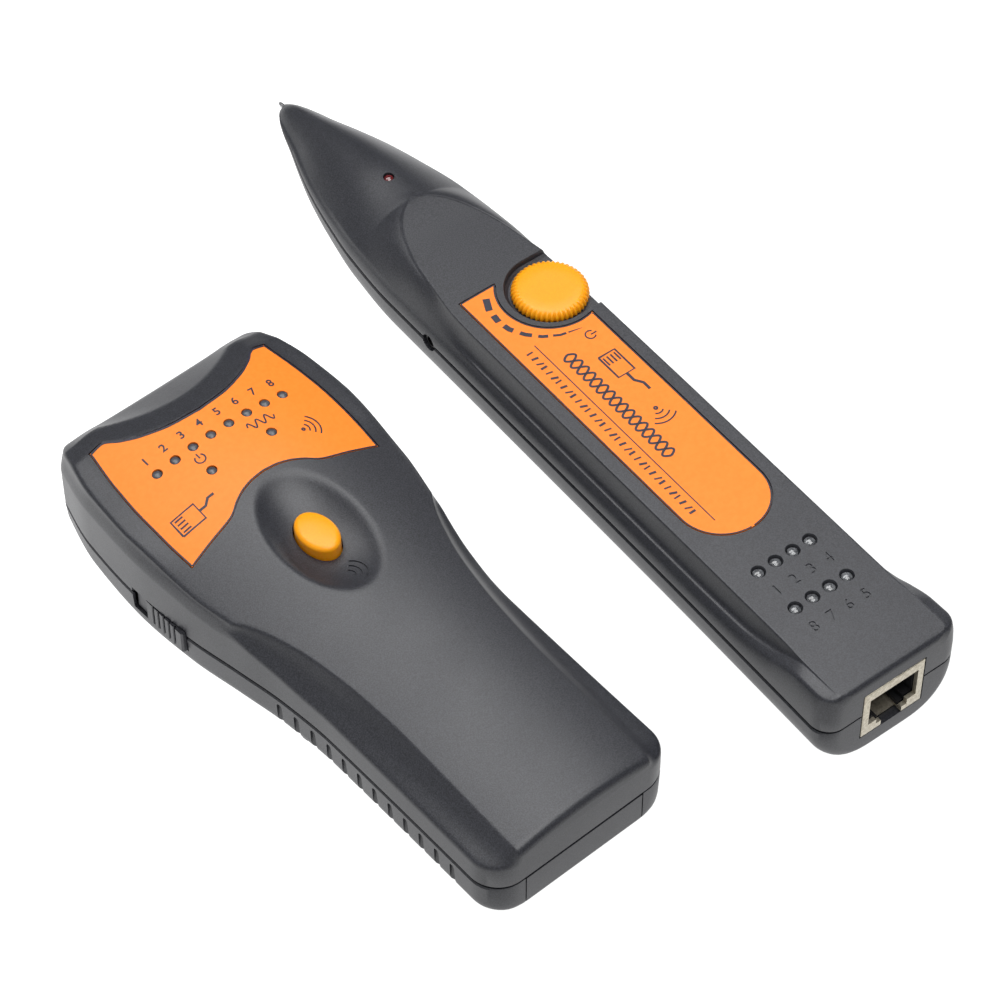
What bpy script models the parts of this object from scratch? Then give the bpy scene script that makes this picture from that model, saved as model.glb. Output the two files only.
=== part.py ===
"""Tone probe kit: a line transmitter with eight lamps, and a long receiver probe, lying side by side.

Each device is modelled in its own frame in millimetres, with x across, y along and z up, and hangs on
an empty that places it. Along the transmitter y is 0 at its lamp row and grows towards the sockets.
Along the receiver y is 0 at its socket face and grows towards the probe tip.
"""

import math

import bmesh
import bpy
from mathutils import Matrix, Vector

MM = 0.001
GAP = 0.3  # between pieces that touch
HALF_GAP = GAP / 2
WALL = 1.9

# Where the two devices lie: the origin is under the middle of the whole kit.
TX_PLACE = (-31.465, 26.435)
RX_PLACE = (37.535, -107.465)
RX_TURN = math.radians(-3.1)

# Standard pieces.
BATTERY = (25.0, 47.5, 16.0)  # a 9 V block: width, length, thickness
BOARD = 1.6
LAMP_R = 1.5
SCREW_R, SCREW_HEAD_R = 1.3, 2.6
SOCKET_W, SOCKET_H, SOCKET_DEPTH = 16.4, 13.8, 16.0  # shielded eight-way socket
PLUG_W, PLUG_H = 12.6, 8.0  # its mouth
SOCKET_BODY_H = 12.6  # of the unshielded sockets

MATERIALS = {  # colour, roughness, metallic
    "case_plastic": ((0.085, 0.088, 0.095), 0.5, 0.0),
    "label_print": ((0.95, 0.36, 0.08), 0.45, 0.0),
    "amber_plastic": ((0.95, 0.48, 0.04), 0.35, 0.0),
    "black_plastic": ((0.02, 0.02, 0.022), 0.45, 0.0),
    "clear_lens": ((0.6, 0.6, 0.6), 0.15, 0.0),
    "smoked_lens": ((0.12, 0.14, 0.15), 0.3, 0.0),
    "red_lens": ((0.25, 0.03, 0.04), 0.2, 0.0),
    "nickel": ((0.72, 0.68, 0.6), 0.3, 1.0),
    "steel": ((0.6, 0.6, 0.6), 0.35, 1.0),
    "board_green": ((0.02, 0.16, 0.07), 0.5, 0.0),
    "battery_wrap": ((0.05, 0.09, 0.2), 0.4, 0.3),
}


def clear_scene():
    for thing in list(bpy.data.objects):
        bpy.data.objects.remove(thing)


def material(name):
    found = bpy.data.materials.get(name)
    if found:
        return found
    colour, roughness, metallic = MATERIALS[name]
    made = bpy.data.materials.new(name)
    made.use_nodes = True
    shader = made.node_tree.nodes["Principled BSDF"]
    shader.inputs["Base Color"].default_value = (*colour, 1.0)
    shader.inputs["Roughness"].default_value = roughness
    shader.inputs["Metallic"].default_value = metallic
    made.diffuse_color = (*colour, 1.0)
    return made


# ---------------------------------------------------------------- shape helpers


def curve(*points):
    """A dimension that changes along a body: a smooth curve through (station, value) pairs."""
    at, values = zip(*points)
    rise = [(v1 - v0) / (a1 - a0) for a0, a1, v0, v1 in zip(at, at[1:], values, values[1:])]
    inner = [0.0 if a * b <= 0 else 2 * a * b / (a + b) for a, b in zip(rise, rise[1:])]
    slope = [rise[0], *inner, rise[-1]]

    def value(x):
        x = min(max(x, at[0]), at[-1])
        i = max(k for k in range(len(at) - 1) if at[k] <= x)
        step = at[i + 1] - at[i]
        t = (x - at[i]) / step
        s = 1 - t
        ends = s * s * (1 + 2 * t) * values[i] + t * t * (1 + 2 * s) * values[i + 1]
        return ends + step * s * t * (s * slope[i] - t * slope[i + 1])

    return value


def rounding(distance, radius):
    """How far a rounded edge has drawn back, this distance before the end that it rounds into."""
    short = max(radius - distance, 0.0)
    return radius - math.sqrt(max(radius * radius - short * short, 0.0))


def spread(first, last, count):
    return [first + (last - first) * i / (count - 1) for i in range(count)]


def end_stations(end, radius, inward, count=4):
    """Stations that close up towards a rounded end, from the end face to where the rounding starts."""
    return [end + inward * radius * (1 - math.cos(0.5 * math.pi * i / count)) for i in range(count + 1)]


def make_object(name, bm, slot, parent, cutter=False):
    bmesh.ops.recalc_face_normals(bm, faces=bm.faces)
    bmesh.ops.scale(bm, vec=(MM, MM, MM), verts=bm.verts)
    mesh = bpy.data.meshes.new(name)
    bm.to_mesh(mesh)
    bm.free()
    made = bpy.data.objects.new(name, mesh)
    bpy.context.collection.objects.link(made)
    made.parent = parent
    if cutter:
        made.hide_render = True
        made.display_type = "WIRE"
        return made
    mesh.materials.append(material(slot))
    mesh.shade_smooth()
    mesh.set_sharp_from_angle(angle=math.radians(35))
    return made


def loft(sections):
    """A closed solid through rings of (x, y, z) points, each ring with the same number of points."""
    bm = bmesh.new()
    rings = [[bm.verts.new(point) for point in ring] for ring in sections]
    count = len(rings[0])
    for lower, upper in zip(rings, rings[1:]):
        for i in range(count):
            k = (i + 1) % count
            bm.faces.new((lower[i], lower[k], upper[k], upper[i]))
    bm.faces.new(rings[0][::-1])
    bm.faces.new(rings[-1])
    return bm


def mirrored(half):
    """A whole section from its right half, which runs from the middle out: (x, z) from left to right."""
    return [(-x, z) for x, z in reversed(half[1:])] + list(half)


def section_loft(stations, half_section):
    """Lofts the sections at these stations, each closed by a straight line between its two ends."""
    return loft([[(x, y, z) for x, z in mirrored(half_section(y))] for y in stations])


def box(low, high):
    bm = bmesh.new()
    bmesh.ops.create_cube(bm, size=1.0)
    size = [b - a for a, b in zip(low, high)]
    middle = [(a + b) / 2 for a, b in zip(low, high)]
    bmesh.ops.scale(bm, vec=size, verts=bm.verts)
    bmesh.ops.translate(bm, vec=middle, verts=bm.verts)
    return bm


def prism(outline, low, high, axis="z"):
    """An outline in the plane across the axis, extruded from low to high along it."""
    place = {
        "z": lambda a, b, h: (a, b, h),
        "y": lambda a, b, h: (a, h, b),
        "x": lambda a, b, h: (h, a, b),
    }[axis]
    return loft([[place(a, b, h) for a, b in outline] for h in (low, high)])


def round_outline(centre, radii, count):
    turns = [2 * math.pi * i / count for i in range(count)]
    return [
        (centre[0] + radii[0] * math.cos(a), centre[1] + radii[1] * math.sin(a))
        for a in turns
    ]


def turned(centre, profile, count, squash=1.0):
    """A solid of rings about a vertical line: profile is (radius, z) from bottom to top."""
    return loft([[(x, y, z) for x, y in round_outline(centre, (r, r * squash), count)] for r, z in profile])


def merged(*parts):
    """Solids in one mesh, for a cutter that cuts in several places."""
    whole = bmesh.new()
    for part in parts:
        mesh = bpy.data.meshes.new("part")
        part.to_mesh(mesh)
        part.free()
        whole.from_mesh(mesh)
        bpy.data.meshes.remove(mesh)
    return whole


def boolean(target, bm, operation="DIFFERENCE"):
    """Cuts, joins or keeps the part of the target inside a solid, and leaves the modifier on it."""
    name = f"{target.name}_{operation.lower()}_{len(target.modifiers)}"
    tool = make_object(name, bm, None, target.parent, cutter=True)
    change = target.modifiers.new(tool.name, "BOOLEAN")
    change.object = tool
    change.operation = operation


def skin(grid, height, low, high):
    """A thin closed sheet over a grid of (x, y) rows, at the surface height plus low and high."""
    bm = bmesh.new()
    under, over = [
        [[bm.verts.new((x, y, height(x, y) + d)) for x, y in row] for row in grid] for d in (low, high)
    ]
    last, side = len(grid) - 1, len(grid[0]) - 1
    for j in range(last):
        for i in range(side):
            bm.faces.new((under[j][i], under[j + 1][i], under[j + 1][i + 1], under[j][i + 1]))
            bm.faces.new((over[j][i], over[j][i + 1], over[j + 1][i + 1], over[j + 1][i]))
        for i in (0, side):
            bm.faces.new((under[j][i], under[j + 1][i], over[j + 1][i], over[j][i]))
    for i in range(side):
        for j in (0, last):
            bm.faces.new((under[j][i], under[j][i + 1], over[j][i + 1], over[j][i]))
    return bm


def along(points, count):
    """Points evenly spaced by length along a bent line."""
    reach = [0.0]
    for a, b in zip(points, points[1:]):
        reach.append(reach[-1] + math.dist(a, b))
    found = []
    for goal in spread(0.0, reach[-1], count):
        i = min(max(k for k in range(len(reach)) if reach[k] <= goal + 1e-9), len(points) - 2)
        t = (goal - reach[i]) / (reach[i + 1] - reach[i])
        found.append(tuple(a + (b - a) * t for a, b in zip(points[i], points[i + 1])))
    return found


def arc(centre, radius, start, end, count):
    """Points on an arc between two angles in degrees."""
    return [
        (centre[0] + radius * math.cos(math.radians(a)), centre[1] + radius * math.sin(math.radians(a)))
        for a in spread(start, end, count)
    ]


# ---------------------------------------------------------------- transmitter: shape

TX_TOP_END, TX_BOTTOM_END = 24.2, -116.5
TX_PARTING = 9.5
TX_TOP_CORNER, TX_BOTTOM_CORNER = 4.4, 7.0  # corner radii seen from above
TX_EDGE = 2.0  # rounding of the upper edge at both ends
TX_CROWN_RADIUS = 80.0  # the upper surface is domed from side to side
TX_END_HEIGHT = 23.2  # of the socket end's upper edge, where the scoop runs out
TX_HALF_WIDTH = curve(
    (-116.5, 24.3), (-91, 24.2), (-66, 24.3), (-52, 25.4), (-39, 27.6), (-25, 30.1), (-8, 31.4), (7, 30.6),
    (24.2, 26.6)
)
TX_MIDDLE = curve(
    (-116.5, 21.4), (-80, 24.0), (-51, 26.3), (-32, 28.6), (-18, 30.4), (-8, 31.3), (0, 31.5), (24.2, 31.3)
)
TX_PLATEAU = curve(
    (-116.5, 17.4), (-83, 17.4), (-69, 18.1), (-55, 20.0), (-45, 22.8), (-40, 25.0), (-37.8, 26.4),
    (-36.4, 27.7), (-30, 28.5), (0, 30.4), (24.2, 25.8)
)
TX_SHOULDER = curve(
    (-116.5, 16.4), (-60, 17.0), (-50, 18.3), (-43, 19.8), (-38, 21.4), (-26, 23.1), (0, 24.5), (24.2, 22.6)
)
TX_SHOULDER_ROUND = curve((-116.5, 0.5), (-42, 0.5), (-32, 1.3), (24.2, 1.3))
TX_BELLY = curve((-116.5, 0.0), (-22, 0.0), (0, 0.9), (24.2, 2.6))
TX_FLOOR_EDGE = 2.4  # rounding under the sides

DISH_CENTRE, DISH_HALF, DISH_DEPTH = (0.0, -33.2), (11.4, 16.6), 4.0
DISH_TILT = math.radians(-6.5)
DISH_LEVEL = 28.6
BUTTON_HALF = (4.45, 6.0)
BUTTON_AT = (0.0, -32.3)
BUTTON_TOP = 28.1
BUTTON_TRAVEL = 0.8

TX_BOARD_Z = 16.5  # underside of the circuit board
LAMP_PITCH = 4.79
TX_LAMPS = [((i - 3.5) * LAMP_PITCH, 0.0) for i in range(8)]
POWER_LAMP, SCAN_LAMP = (-8.0, -7.4), (8.0, -7.4)
TX_SCREWS = [(-24.0, 12.0), (24.0, 12.0), (-20.2, -56.0), (20.2, -56.0)]
DOOR_HALF, DOOR_FRONT = 15.5, -62.0
KNOB_Y = (-24.8, -12.4)
KNOB_TRAVEL = 4.0
GRIP_FIRST, GRIP_LAST, GRIPS = -50.0, -103.5, 12
TX_JACKS_Z = 3.6  # underside of the sockets


TX_LABEL_SIDE = curve((-22, 24.9), (-14, 25.4), (-6, 25.5), (4, 24.9), (14.8, 23.4))
TX_LABEL_LOWER = curve(
    (0, -14.5), (3, -14.8), (6, -15.6), (9, -17.1), (11, -18.5), (12.5, -19.2), (18, -20.4), (24.8, -21.9)
)
TX_LABEL_UPPER = curve((0, 7.2), (6, 7.8), (13, 10.1), (17, 12.4), (20.8, 15.0), (23.4, 14.8))
TX_LABEL_ENDS = (24.8, 23.4)  # half its width at the lower and at the upper edge
TX_BRIM = curve((-116.5, 0), (-24, 0), (-12, 0.16), (24.2, 0.16))  # flatter outside the label
TX_STRIP_FALL = 0.28  # slope of the strip between the label and the scoop


def tx_width(y):
    """Half the width, with the rounded corners at both ends."""
    drawn_in = rounding(TX_TOP_END - y, TX_TOP_CORNER) + rounding(y - TX_BOTTOM_END, TX_BOTTOM_CORNER)
    return TX_HALF_WIDTH(y) - drawn_in


def scoop_line(x):
    """Where the scooped slope of the socket end starts."""
    return min(13.5 + 7.5 * (x / 19.0) ** 2, 19.8)


def tx_top(x, y):
    """Height of the upper surface: a dome across, a falling line along, and the scoop at the socket end."""
    start = scoop_line(x)
    height = TX_MIDDLE(min(y, start)) - x * x / (2 * TX_CROWN_RADIUS)
    height += TX_BRIM(y) * max(abs(x) - 25.5, 0.0)
    height -= TX_STRIP_FALL * max(min(y, start) - TX_LABEL_UPPER(abs(x)) - 0.5, 0.0)
    if y > start:
        height += (TX_END_HEIGHT - height) * (y - start) / (TX_TOP_END - start)
    return height - rounding(TX_TOP_END - y, TX_EDGE) - rounding(y - TX_BOTTOM_END, TX_EDGE)


def tx_front_half(y, steps=6):
    """Right half of the front cover's section: plateau, sloped facet, rounded shoulder, wall."""
    w = tx_width(y)
    p = min(TX_PLATEAU(y), w - 1.1)
    edge = tx_top(p, y)
    shoulder = min(TX_SHOULDER(y), edge - 1.2)
    r = TX_SHOULDER_ROUND(y)
    s = w - min(r, (w - p) * 0.6)
    points = [(x, tx_top(x, y)) for x in spread(0.0, p, steps)]
    middle = ((p + s) / 2, (edge + shoulder) / 2 - 0.14 * (w - p))
    points += [middle, (s, shoulder), (w - 0.26 * r, shoulder - 0.9 * r), (w, shoulder - 2 * r)]
    return [*points, (w, TX_PARTING + HALF_GAP)]


def tx_cavity_half(y):
    """Right half of the hollow under the front cover, with room for the dish."""
    w = tx_width(y) - WALL
    p = min(TX_PLATEAU(y), w - 1.0) - 1.2
    roof = TX_CAVITY(y)
    shoulder = min(TX_SHOULDER(y) - 3.0, roof - 3.0)
    points = [(x, roof - x * x / (2 * TX_CROWN_RADIUS)) for x in spread(0.0, p, 3)]
    return [*points, (w, shoulder), (w, TX_PARTING - 1)]


TX_CAVITY = curve(
    (-114.6, 19.5), (-60, 21.6), (-50, 22.0), (-42, 22.6), (-20, 22.8), (-16, 26.0), (-8, 28.6), (0, 29.0),
    (8, 27.8), (22, 19.4)
)


def tx_back_half(y):
    """Right half of the back cover's section, from the middle of the underside out and up."""
    w, z = tx_width(y), TX_BELLY(y) + rounding(y - TX_BOTTOM_END, 1.2)
    e = TX_FLOOR_EDGE
    return [(0.0, z), (w - e - 0.3, z), (w - 0.9, z + 0.35 * e), (w - 0.3, z + e), (w, TX_PARTING - HALF_GAP)]


def tx_back_cavity_half(y):
    w, floor = tx_width(y) - WALL, TX_BELLY(y) + 2.0
    return [(0.0, floor), (w - 1.0, floor), (w - 0.4, floor + 1.0), (w, TX_PARTING + 1)]


def tx_stations():
    ends = end_stations(TX_BOTTOM_END, TX_BOTTOM_CORNER, 1, 5), end_stations(TX_TOP_END, TX_TOP_CORNER, -1, 5)
    return sorted(ends[0] + spread(-100, 12, 15) + ends[1] + [16.0])


def tx_label_grid(grow, across=17, rows=6):
    """Columns from the label's dished lower edge to its hollow upper edge."""
    low_end, high_end = TX_LABEL_ENDS
    grid = []
    for t in spread(-1.0, 1.0, across):
        start = TX_LABEL_LOWER(abs(t) * low_end) - grow
        end = TX_LABEL_UPPER(abs(t) * high_end) + grow
        grid.append([(t * (TX_LABEL_SIDE(y) + grow), y) for y in spread(start, end, rows)])
    return grid


# ---------------------------------------------------------------- shared small pieces


def make_lamp(name, parent, at, top, board_top, slot, radius=LAMP_R):
    """A lamp with its domed lens up and two legs down to the board, as one body."""
    x, y = at
    base = top - 5.0
    lamp = make_object(
        name,
        turned(
            (x, y),
            [
                (radius, base), (radius, top - 0.9 * radius), (0.8 * radius, top - 0.35 * radius),
                (0.35 * radius, top)
            ],
            10,
        ),
        slot,
        parent,
    )
    foot = board_top + GAP
    legs = [box((x + d - 0.25, y - 0.25, foot), (x + d + 0.25, y + 0.25, base + 0.6)) for d in (-0.8, 0.8)]
    boolean(lamp, merged(*legs), "UNION")
    return lamp


def make_screw(name, parent, at, head_z, length, radius=SCREW_R, head=SCREW_HEAD_R):
    """A self-tapping screw, put in from below, with a cross slot in its head."""
    profile = [(head * 0.8, head_z), (head, head_z + 0.5), (head, head_z + 1.7), (radius, head_z + 1.75)]
    profile += [(radius, head_z + length - 1.2), (0.35, head_z + length)]
    screw = make_object(name, turned(at, profile, 8), "steel", parent)
    x, y = at
    arms = ((1.5, 0.3), (0.3, 1.5))
    slots = [box((x - a, y - b, head_z - 1), (x + a, y + b, head_z + 0.8)) for a, b in arms]
    boolean(screw, slots[0])
    boolean(screw, slots[1])
    return screw


def make_battery(name, parent, low, terminals_up):
    """A 9 V block with its two snap terminals on the end at +y or -y."""
    w, length, h = BATTERY
    x, y, z = low
    battery = make_object(name, box(low, (x + w, y + length, z + h)), "battery_wrap", parent)
    end = y + length if terminals_up else y
    way = 1 if terminals_up else -1
    for sign, radius in ((-1, 2.7), (1, 4.0)):
        middle = (x + w / 2 + sign * 6.35, z + h / 2)
        outline = round_outline(middle, (radius, radius), 10)
        boolean(battery, prism(outline, *sorted((end - way, end + way * 2.2)), "y"), "UNION")
    return battery


def make_snap(name, parent, middle, y, way):
    """The snap cap that faces the battery's terminals: a plate with two cups."""
    x, z = middle
    y0, y1 = sorted((y, y + way * 1.6))
    plate = make_object(name, box((x - 12.5, y0, z - 5.5), (x + 12.5, y1, z + 5.5)), "black_plastic", parent)
    for sign, radius in ((-1, 4.2), (1, 3.0)):
        outline = round_outline((x + sign * 6.35, z), (radius, radius), 10)
        boolean(plate, prism(outline, *sorted((y + way * 1.0, y + way * 3.2)), "y"), "UNION")
    return plate


def socket_mouth(x, z, width, height, low, high, latch=True):
    """The stepped plug mouth of a modular socket, as a cutter along y: z is the mouth's underside."""
    parts = [box((x - width / 2, low, z), (x + width / 2, high, z + height))]
    if latch:
        parts.append(box((x - 4.2, low, z - 1.4), (x + 4.2, high, z + 0.4)))
        parts.append(box((x - 2.8, low, z - 3.1), (x + 2.8, high, z - 1.0)))
    return parts


def make_socket(name, parent, x, face, z, way, width, mouth, slot="black_plastic"):
    """A modular socket block with its mouth at y = face, opening along way."""
    back = face - way * SOCKET_DEPTH
    low, high = (x - width / 2, min(face, back), z), (x + width / 2, max(face, back), z + SOCKET_BODY_H)
    block = make_object(name, box(low, high), slot, parent)
    depth = sorted((face + way, face - way * 13.0))
    for part in socket_mouth(x, z + 3.3, mouth[0], mouth[1], *depth):
        boolean(block, part)
    return block


# ---------------------------------------------------------------- transmitter: pieces


def make_tx_covers(tx):
    front = make_object("tx_front_cover", section_loft(tx_stations(), tx_front_half), "case_plastic", tx)
    inner = sorted([TX_BOTTOM_END + WALL, *spread(-108, 14, 12), -19.0, -47.0, TX_TOP_END - WALL])
    boolean(front, section_loft(inner, tx_cavity_half))
    for x, y in TX_SCREWS:
        top = min(tx_top(x, y), TX_SHOULDER(y) + 1.5) - 1.5
        boolean(front, turned((x, y), [(2.6, TX_PARTING + GAP), (2.6, top)], 10), "UNION")
        bore = SCREW_R + GAP
        boolean(front, turned((x, y), [(bore, TX_PARTING - 1), (bore, TX_PARTING + 6.0)], 8))
    boolean(front, skin(tx_label_grid(GAP), tx_top, -0.55, 2.0))
    boolean(front, dish_cutter())
    hole = round_outline(BUTTON_AT, (BUTTON_HALF[0] + 0.35, BUTTON_HALF[1] + 0.35), 20)
    boolean(front, prism(hole, 18.0, 32.0))
    places = (*TX_LAMPS, POWER_LAMP, SCAN_LAMP)
    lamps = [turned(at, [(LAMP_R + GAP, 20.0), (LAMP_R + GAP, 34.0)], 10) for at in places]
    boolean(front, merged(*lamps))
    for part in tx_end_openings():
        boolean(front, part)
    boolean(front, knob_window())

    back = make_object("tx_back_cover", section_loft(tx_stations(), tx_back_half), "case_plastic", tx)
    back_inner = [TX_BOTTOM_END + WALL, -108, -80, -60, -45, -30, -15, 0, 14, TX_TOP_END - WALL]
    boolean(back, section_loft(back_inner, tx_back_cavity_half))
    for x, y in TX_SCREWS:
        floor = TX_BELLY(y)
        boolean(back, turned((x, y), [(4.0, floor + 1.0), (4.0, TX_PARTING - GAP)], 10), "UNION")
        sunk = SCREW_HEAD_R + GAP
        boolean(back, turned((x, y), [(sunk, floor - 2), (sunk, floor + 3.2)], 10))
        boolean(back, turned((x, y), [(SCREW_R + GAP, 0.0), (SCREW_R + GAP, 12.0)], 10))
    for part in tx_end_openings():
        boolean(back, part)
    boolean(back, knob_window())
    boolean(back, box((-DOOR_HALF - GAP, -120, -1), (DOOR_HALF + GAP, DOOR_FRONT + GAP, 2.4)))
    boolean(back, box((-DOOR_HALF - GAP, -120, -1), (DOOR_HALF + GAP, TX_BOTTOM_END + WALL + 0.5, 12)))
    boolean(back, merged(*grip_cutters()))

    door = make_object("tx_battery_door", section_loft(tx_stations(), tx_back_half), "case_plastic", tx)
    boolean(door, box((-DOOR_HALF, -120, -1), (DOOR_HALF, DOOR_FRONT, TX_PARTING - 0.5)), "INTERSECT")
    boolean(door, box((-30, TX_BOTTOM_END + WALL, 2.0), (30, 0, 12)))


def dish_cutter():
    """A tilted ellipsoid that hollows the finger dish out of the upper surface."""
    bm = bmesh.new()
    bmesh.ops.create_uvsphere(bm, u_segments=24, v_segments=12, radius=1.0)
    ball = 12.0
    reach = math.sqrt(1 - ((ball - DISH_DEPTH) / ball) ** 2)
    bmesh.ops.scale(bm, vec=(DISH_HALF[0] / reach, DISH_HALF[1] / reach, ball), verts=bm.verts)
    bmesh.ops.rotate(bm, cent=(0, 0, 0), matrix=Matrix.Rotation(-DISH_TILT, 3, "X"), verts=bm.verts)
    lift = Matrix.Rotation(-DISH_TILT, 3, "X") @ Vector((0, 0, ball - DISH_DEPTH))
    place = Vector((*DISH_CENTRE, DISH_LEVEL)) + lift
    bmesh.ops.translate(bm, vec=place, verts=bm.verts)
    return bm


def grip_cutters():
    """Upright grooves along both sides of the handle's lower half."""
    cutters = []
    for y in spread(GRIP_FIRST, GRIP_LAST, GRIPS):
        for side in (-1, 1):
            x = side * (tx_width(y) - 0.5)
            cutters.append(turned((x, y), [(0.8, -1.0), (0.8, 7.6)], 8))
    return cutters


def knob_window():
    low = (-40, KNOB_Y[0] - GAP, 4.6)
    return box(low, (-tx_width(-18) + 3.2, KNOB_Y[1] + KNOB_TRAVEL + GAP, 11.4))


def tx_end_openings():
    """Room in the socket end's wall for the eight-way socket and the narrow telephone socket."""
    end, low, high = TX_TOP_END + 1, TX_JACKS_Z - GAP, TX_JACKS_Z + SOCKET_BODY_H + GAP
    return [
        box((-9.5 - 8.0 - GAP, 7.0, low), (-9.5 + 8.0 + GAP, end, high)),
        box((10.0 - 6.6 - GAP, 7.0, low), (10.0 + 6.6 + GAP, end, high)),
    ]


def make_tx_button(tx):
    x, y = BUTTON_AT
    a, b = BUTTON_HALF
    top = BUTTON_TOP
    rings = [(a + 1.2, 21.2), (a + 1.2, 21.7), (a - 0.1, 21.75), (a, top - 1.2), (a - 0.35, top - 0.5)]
    rings.append((a - 1.3, top - 0.1))
    bm = loft([[(px, py, z) for px, py in round_outline((x, y), (r, r + b - a), 20)] for r, z in rings])
    make_object("tx_scan_button", bm, "amber_plastic", tx)
    body = box((x - 3, y - 3, 18.1), (x + 3, y + 3, 19.9))
    switch = make_object("tx_tact_switch", body, "black_plastic", tx)
    boolean(switch, turned(BUTTON_AT, [(1.6, 19.5), (1.6, 20.2)], 10), "UNION")


def make_tx_inside(tx):
    board_top = TX_BOARD_Z + BOARD
    half = [(17.0, -52), (21.0, -44), (26.2, -8), (21.8, 15), (18.6, 20.5)]
    outline = half + [(-x, y) for x, y in reversed(half)]
    board = make_object("tx_circuit_board", prism(outline, TX_BOARD_Z, board_top), "board_green", tx)
    for x, y in TX_SCREWS[:2]:
        boolean(board, turned((x, y), [(4.4, 10), (4.4, 20)], 10))
    make_socket("tx_line_socket", tx, -9.5, TX_TOP_END - 0.2, TX_JACKS_Z, 1, 16.0, (11.8, 6.9))
    make_socket("tx_phone_socket", tx, 10.0, TX_TOP_END - 0.2, TX_JACKS_Z, 1, 13.2, (9.8, 6.9))
    for i, at in enumerate(TX_LAMPS):
        make_lamp(f"tx_lamp_{i + 1}", tx, at, tx_top(*at) + 0.15, board_top, "smoked_lens")
    make_lamp("tx_lamp_power", tx, POWER_LAMP, tx_top(*POWER_LAMP) + 0.15, board_top, "smoked_lens")
    make_lamp("tx_lamp_scan", tx, SCAN_LAMP, tx_top(*SCAN_LAMP) + 0.15, board_top, "smoked_lens")
    make_battery("tx_battery", tx, (-12.5, -113.0, 2.3), True)
    make_snap("tx_battery_snap", tx, (0.0, 10.4), -62.5, 1)
    for i, (x, y) in enumerate(TX_SCREWS):
        make_screw(f"tx_case_screw_{i + 1}", tx, (x, y), TX_BELLY(y) + 0.9, 13.0 - TX_BELLY(y))


def make_tx_label(tx):
    label = make_object("tx_label", skin(tx_label_grid(0.0), tx_top, -0.25, 0.15), "label_print", tx)
    places = (*TX_LAMPS, POWER_LAMP, SCAN_LAMP)
    holes = [turned(at, [(LAMP_R + GAP, 25.0), (LAMP_R + GAP, 34.0)], 10) for at in places]
    boolean(label, merged(*holes))


def make_tx_slide(tx):
    """The slide switch in the left side, and its ribbed knob."""
    wall = -tx_width(-18)
    y0, y1 = KNOB_Y
    body = box((wall - 0.35, y0, 5.0), (wall + 2.6, y1, 11.0))
    knob = make_object("tx_slide_knob", body, "case_plastic", tx)
    for y in spread(y0 + 2.6, y1 - 2.6, 5):
        boolean(knob, box((wall - 2, y - 0.25, 4), (wall + 0.45, y + 0.25, 12)))
    boolean(knob, box((wall + 2.1, y1 - 0.5, 5.2), (wall + 2.5, y1 + KNOB_TRAVEL - 0.4, 10.8)), "UNION")
    switch = box((wall + 3.6, y0 - 1, 4.9), (wall + 8.6, y1 + KNOB_TRAVEL + 1, 11.5))
    make_object("tx_slide_switch", switch, "steel", tx)


# ---------------------------------------------------------------- receiver: shape

RX_NOSE = 214.0
RX_PARTING = 13.0
RX_CORNER = 4.6
RX_EDGE = 1.7
RX_HALF_WIDTH = curve(
    (0, 18.6), (23, 18.2), (48, 17.8), (75, 17.6), (120, 17.4), (150, 17.3), (166, 16.1), (177, 14.2),
    (188, 11.6), (196, 9.0), (203, 6.4), (208.5, 4.5), (212, 2.9), (213.4, 1.7), (214, 0.7)
)
RX_MIDDLE = curve(
    (0, 24.0), (150, 24.1), (163, 24.3), (167, 23.9), (176, 23.6), (186, 22.3), (196, 20.2), (205, 17.6),
    (211, 15.6), (214, 13.9)
)
RX_PLATEAU = curve(
    (0, 14.6), (11.5, 14.6), (20, 14.4), (118, 14.3), (130, 14.0), (139, 12.6), (147, 10.9), (155, 7.9),
    (160.5, 4.8), (163.5, 2.6), (165.5, 0.6), (214, 0.3)
)
RX_RIDGE_X = curve(
    (0, 14.9), (11.5, 14.9), (15, 15.4), (20, 16.0), (30, 16.4), (120, 16.1), (150, 16.0), (214, 16.0)
)
RX_RIDGE_Z = curve(
    (0, 23.8), (11.5, 23.5), (15, 22.4), (20, 20.5), (30, 18.6), (45, 18.1), (140, 18.0), (165, 17.4),
    (180, 16.4), (195, 15.3), (207, 14.3), (214, 13.6)
)
RX_SHOULDER_Z = curve(
    (0, 23.2), (9, 23.0), (15, 21.4), (20, 19.5), (30, 17.8), (45, 17.2), (155, 16.9), (180, 15.8),
    (207, 14.0), (214, 13.5)
)
# How sharply the groove falls from the plateau.
RX_SCOOP = curve((0, 1.0), (11.5, 1.0), (17, 3.0), (214, 3.0))
RX_ARCH = curve((0, 0.0), (116, 0.0), (148, 1.0), (214, 1.0))  # from a grooved section to an arched one
RX_STEP = curve((0, 0.0), (116, 0.0), (148, 0.3), (162, 0.3), (167, 0.0), (214, 0.0))
RX_BELLY = curve(
    (0, 0.0), (150, 0.0), (165, 1.0), (180, 3.2), (195, 6.2), (205, 8.8), (212, 11.2), (214, 12.4)
)
RX_ROOF = curve((0, 1.9), (109, 1.9), (112, 3.6), (135, 3.6), (138, 1.9), (214, 1.9))  # wall over the hollow
RX_FLAT = 6.2  # half the width of the flat that it rests on

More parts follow.
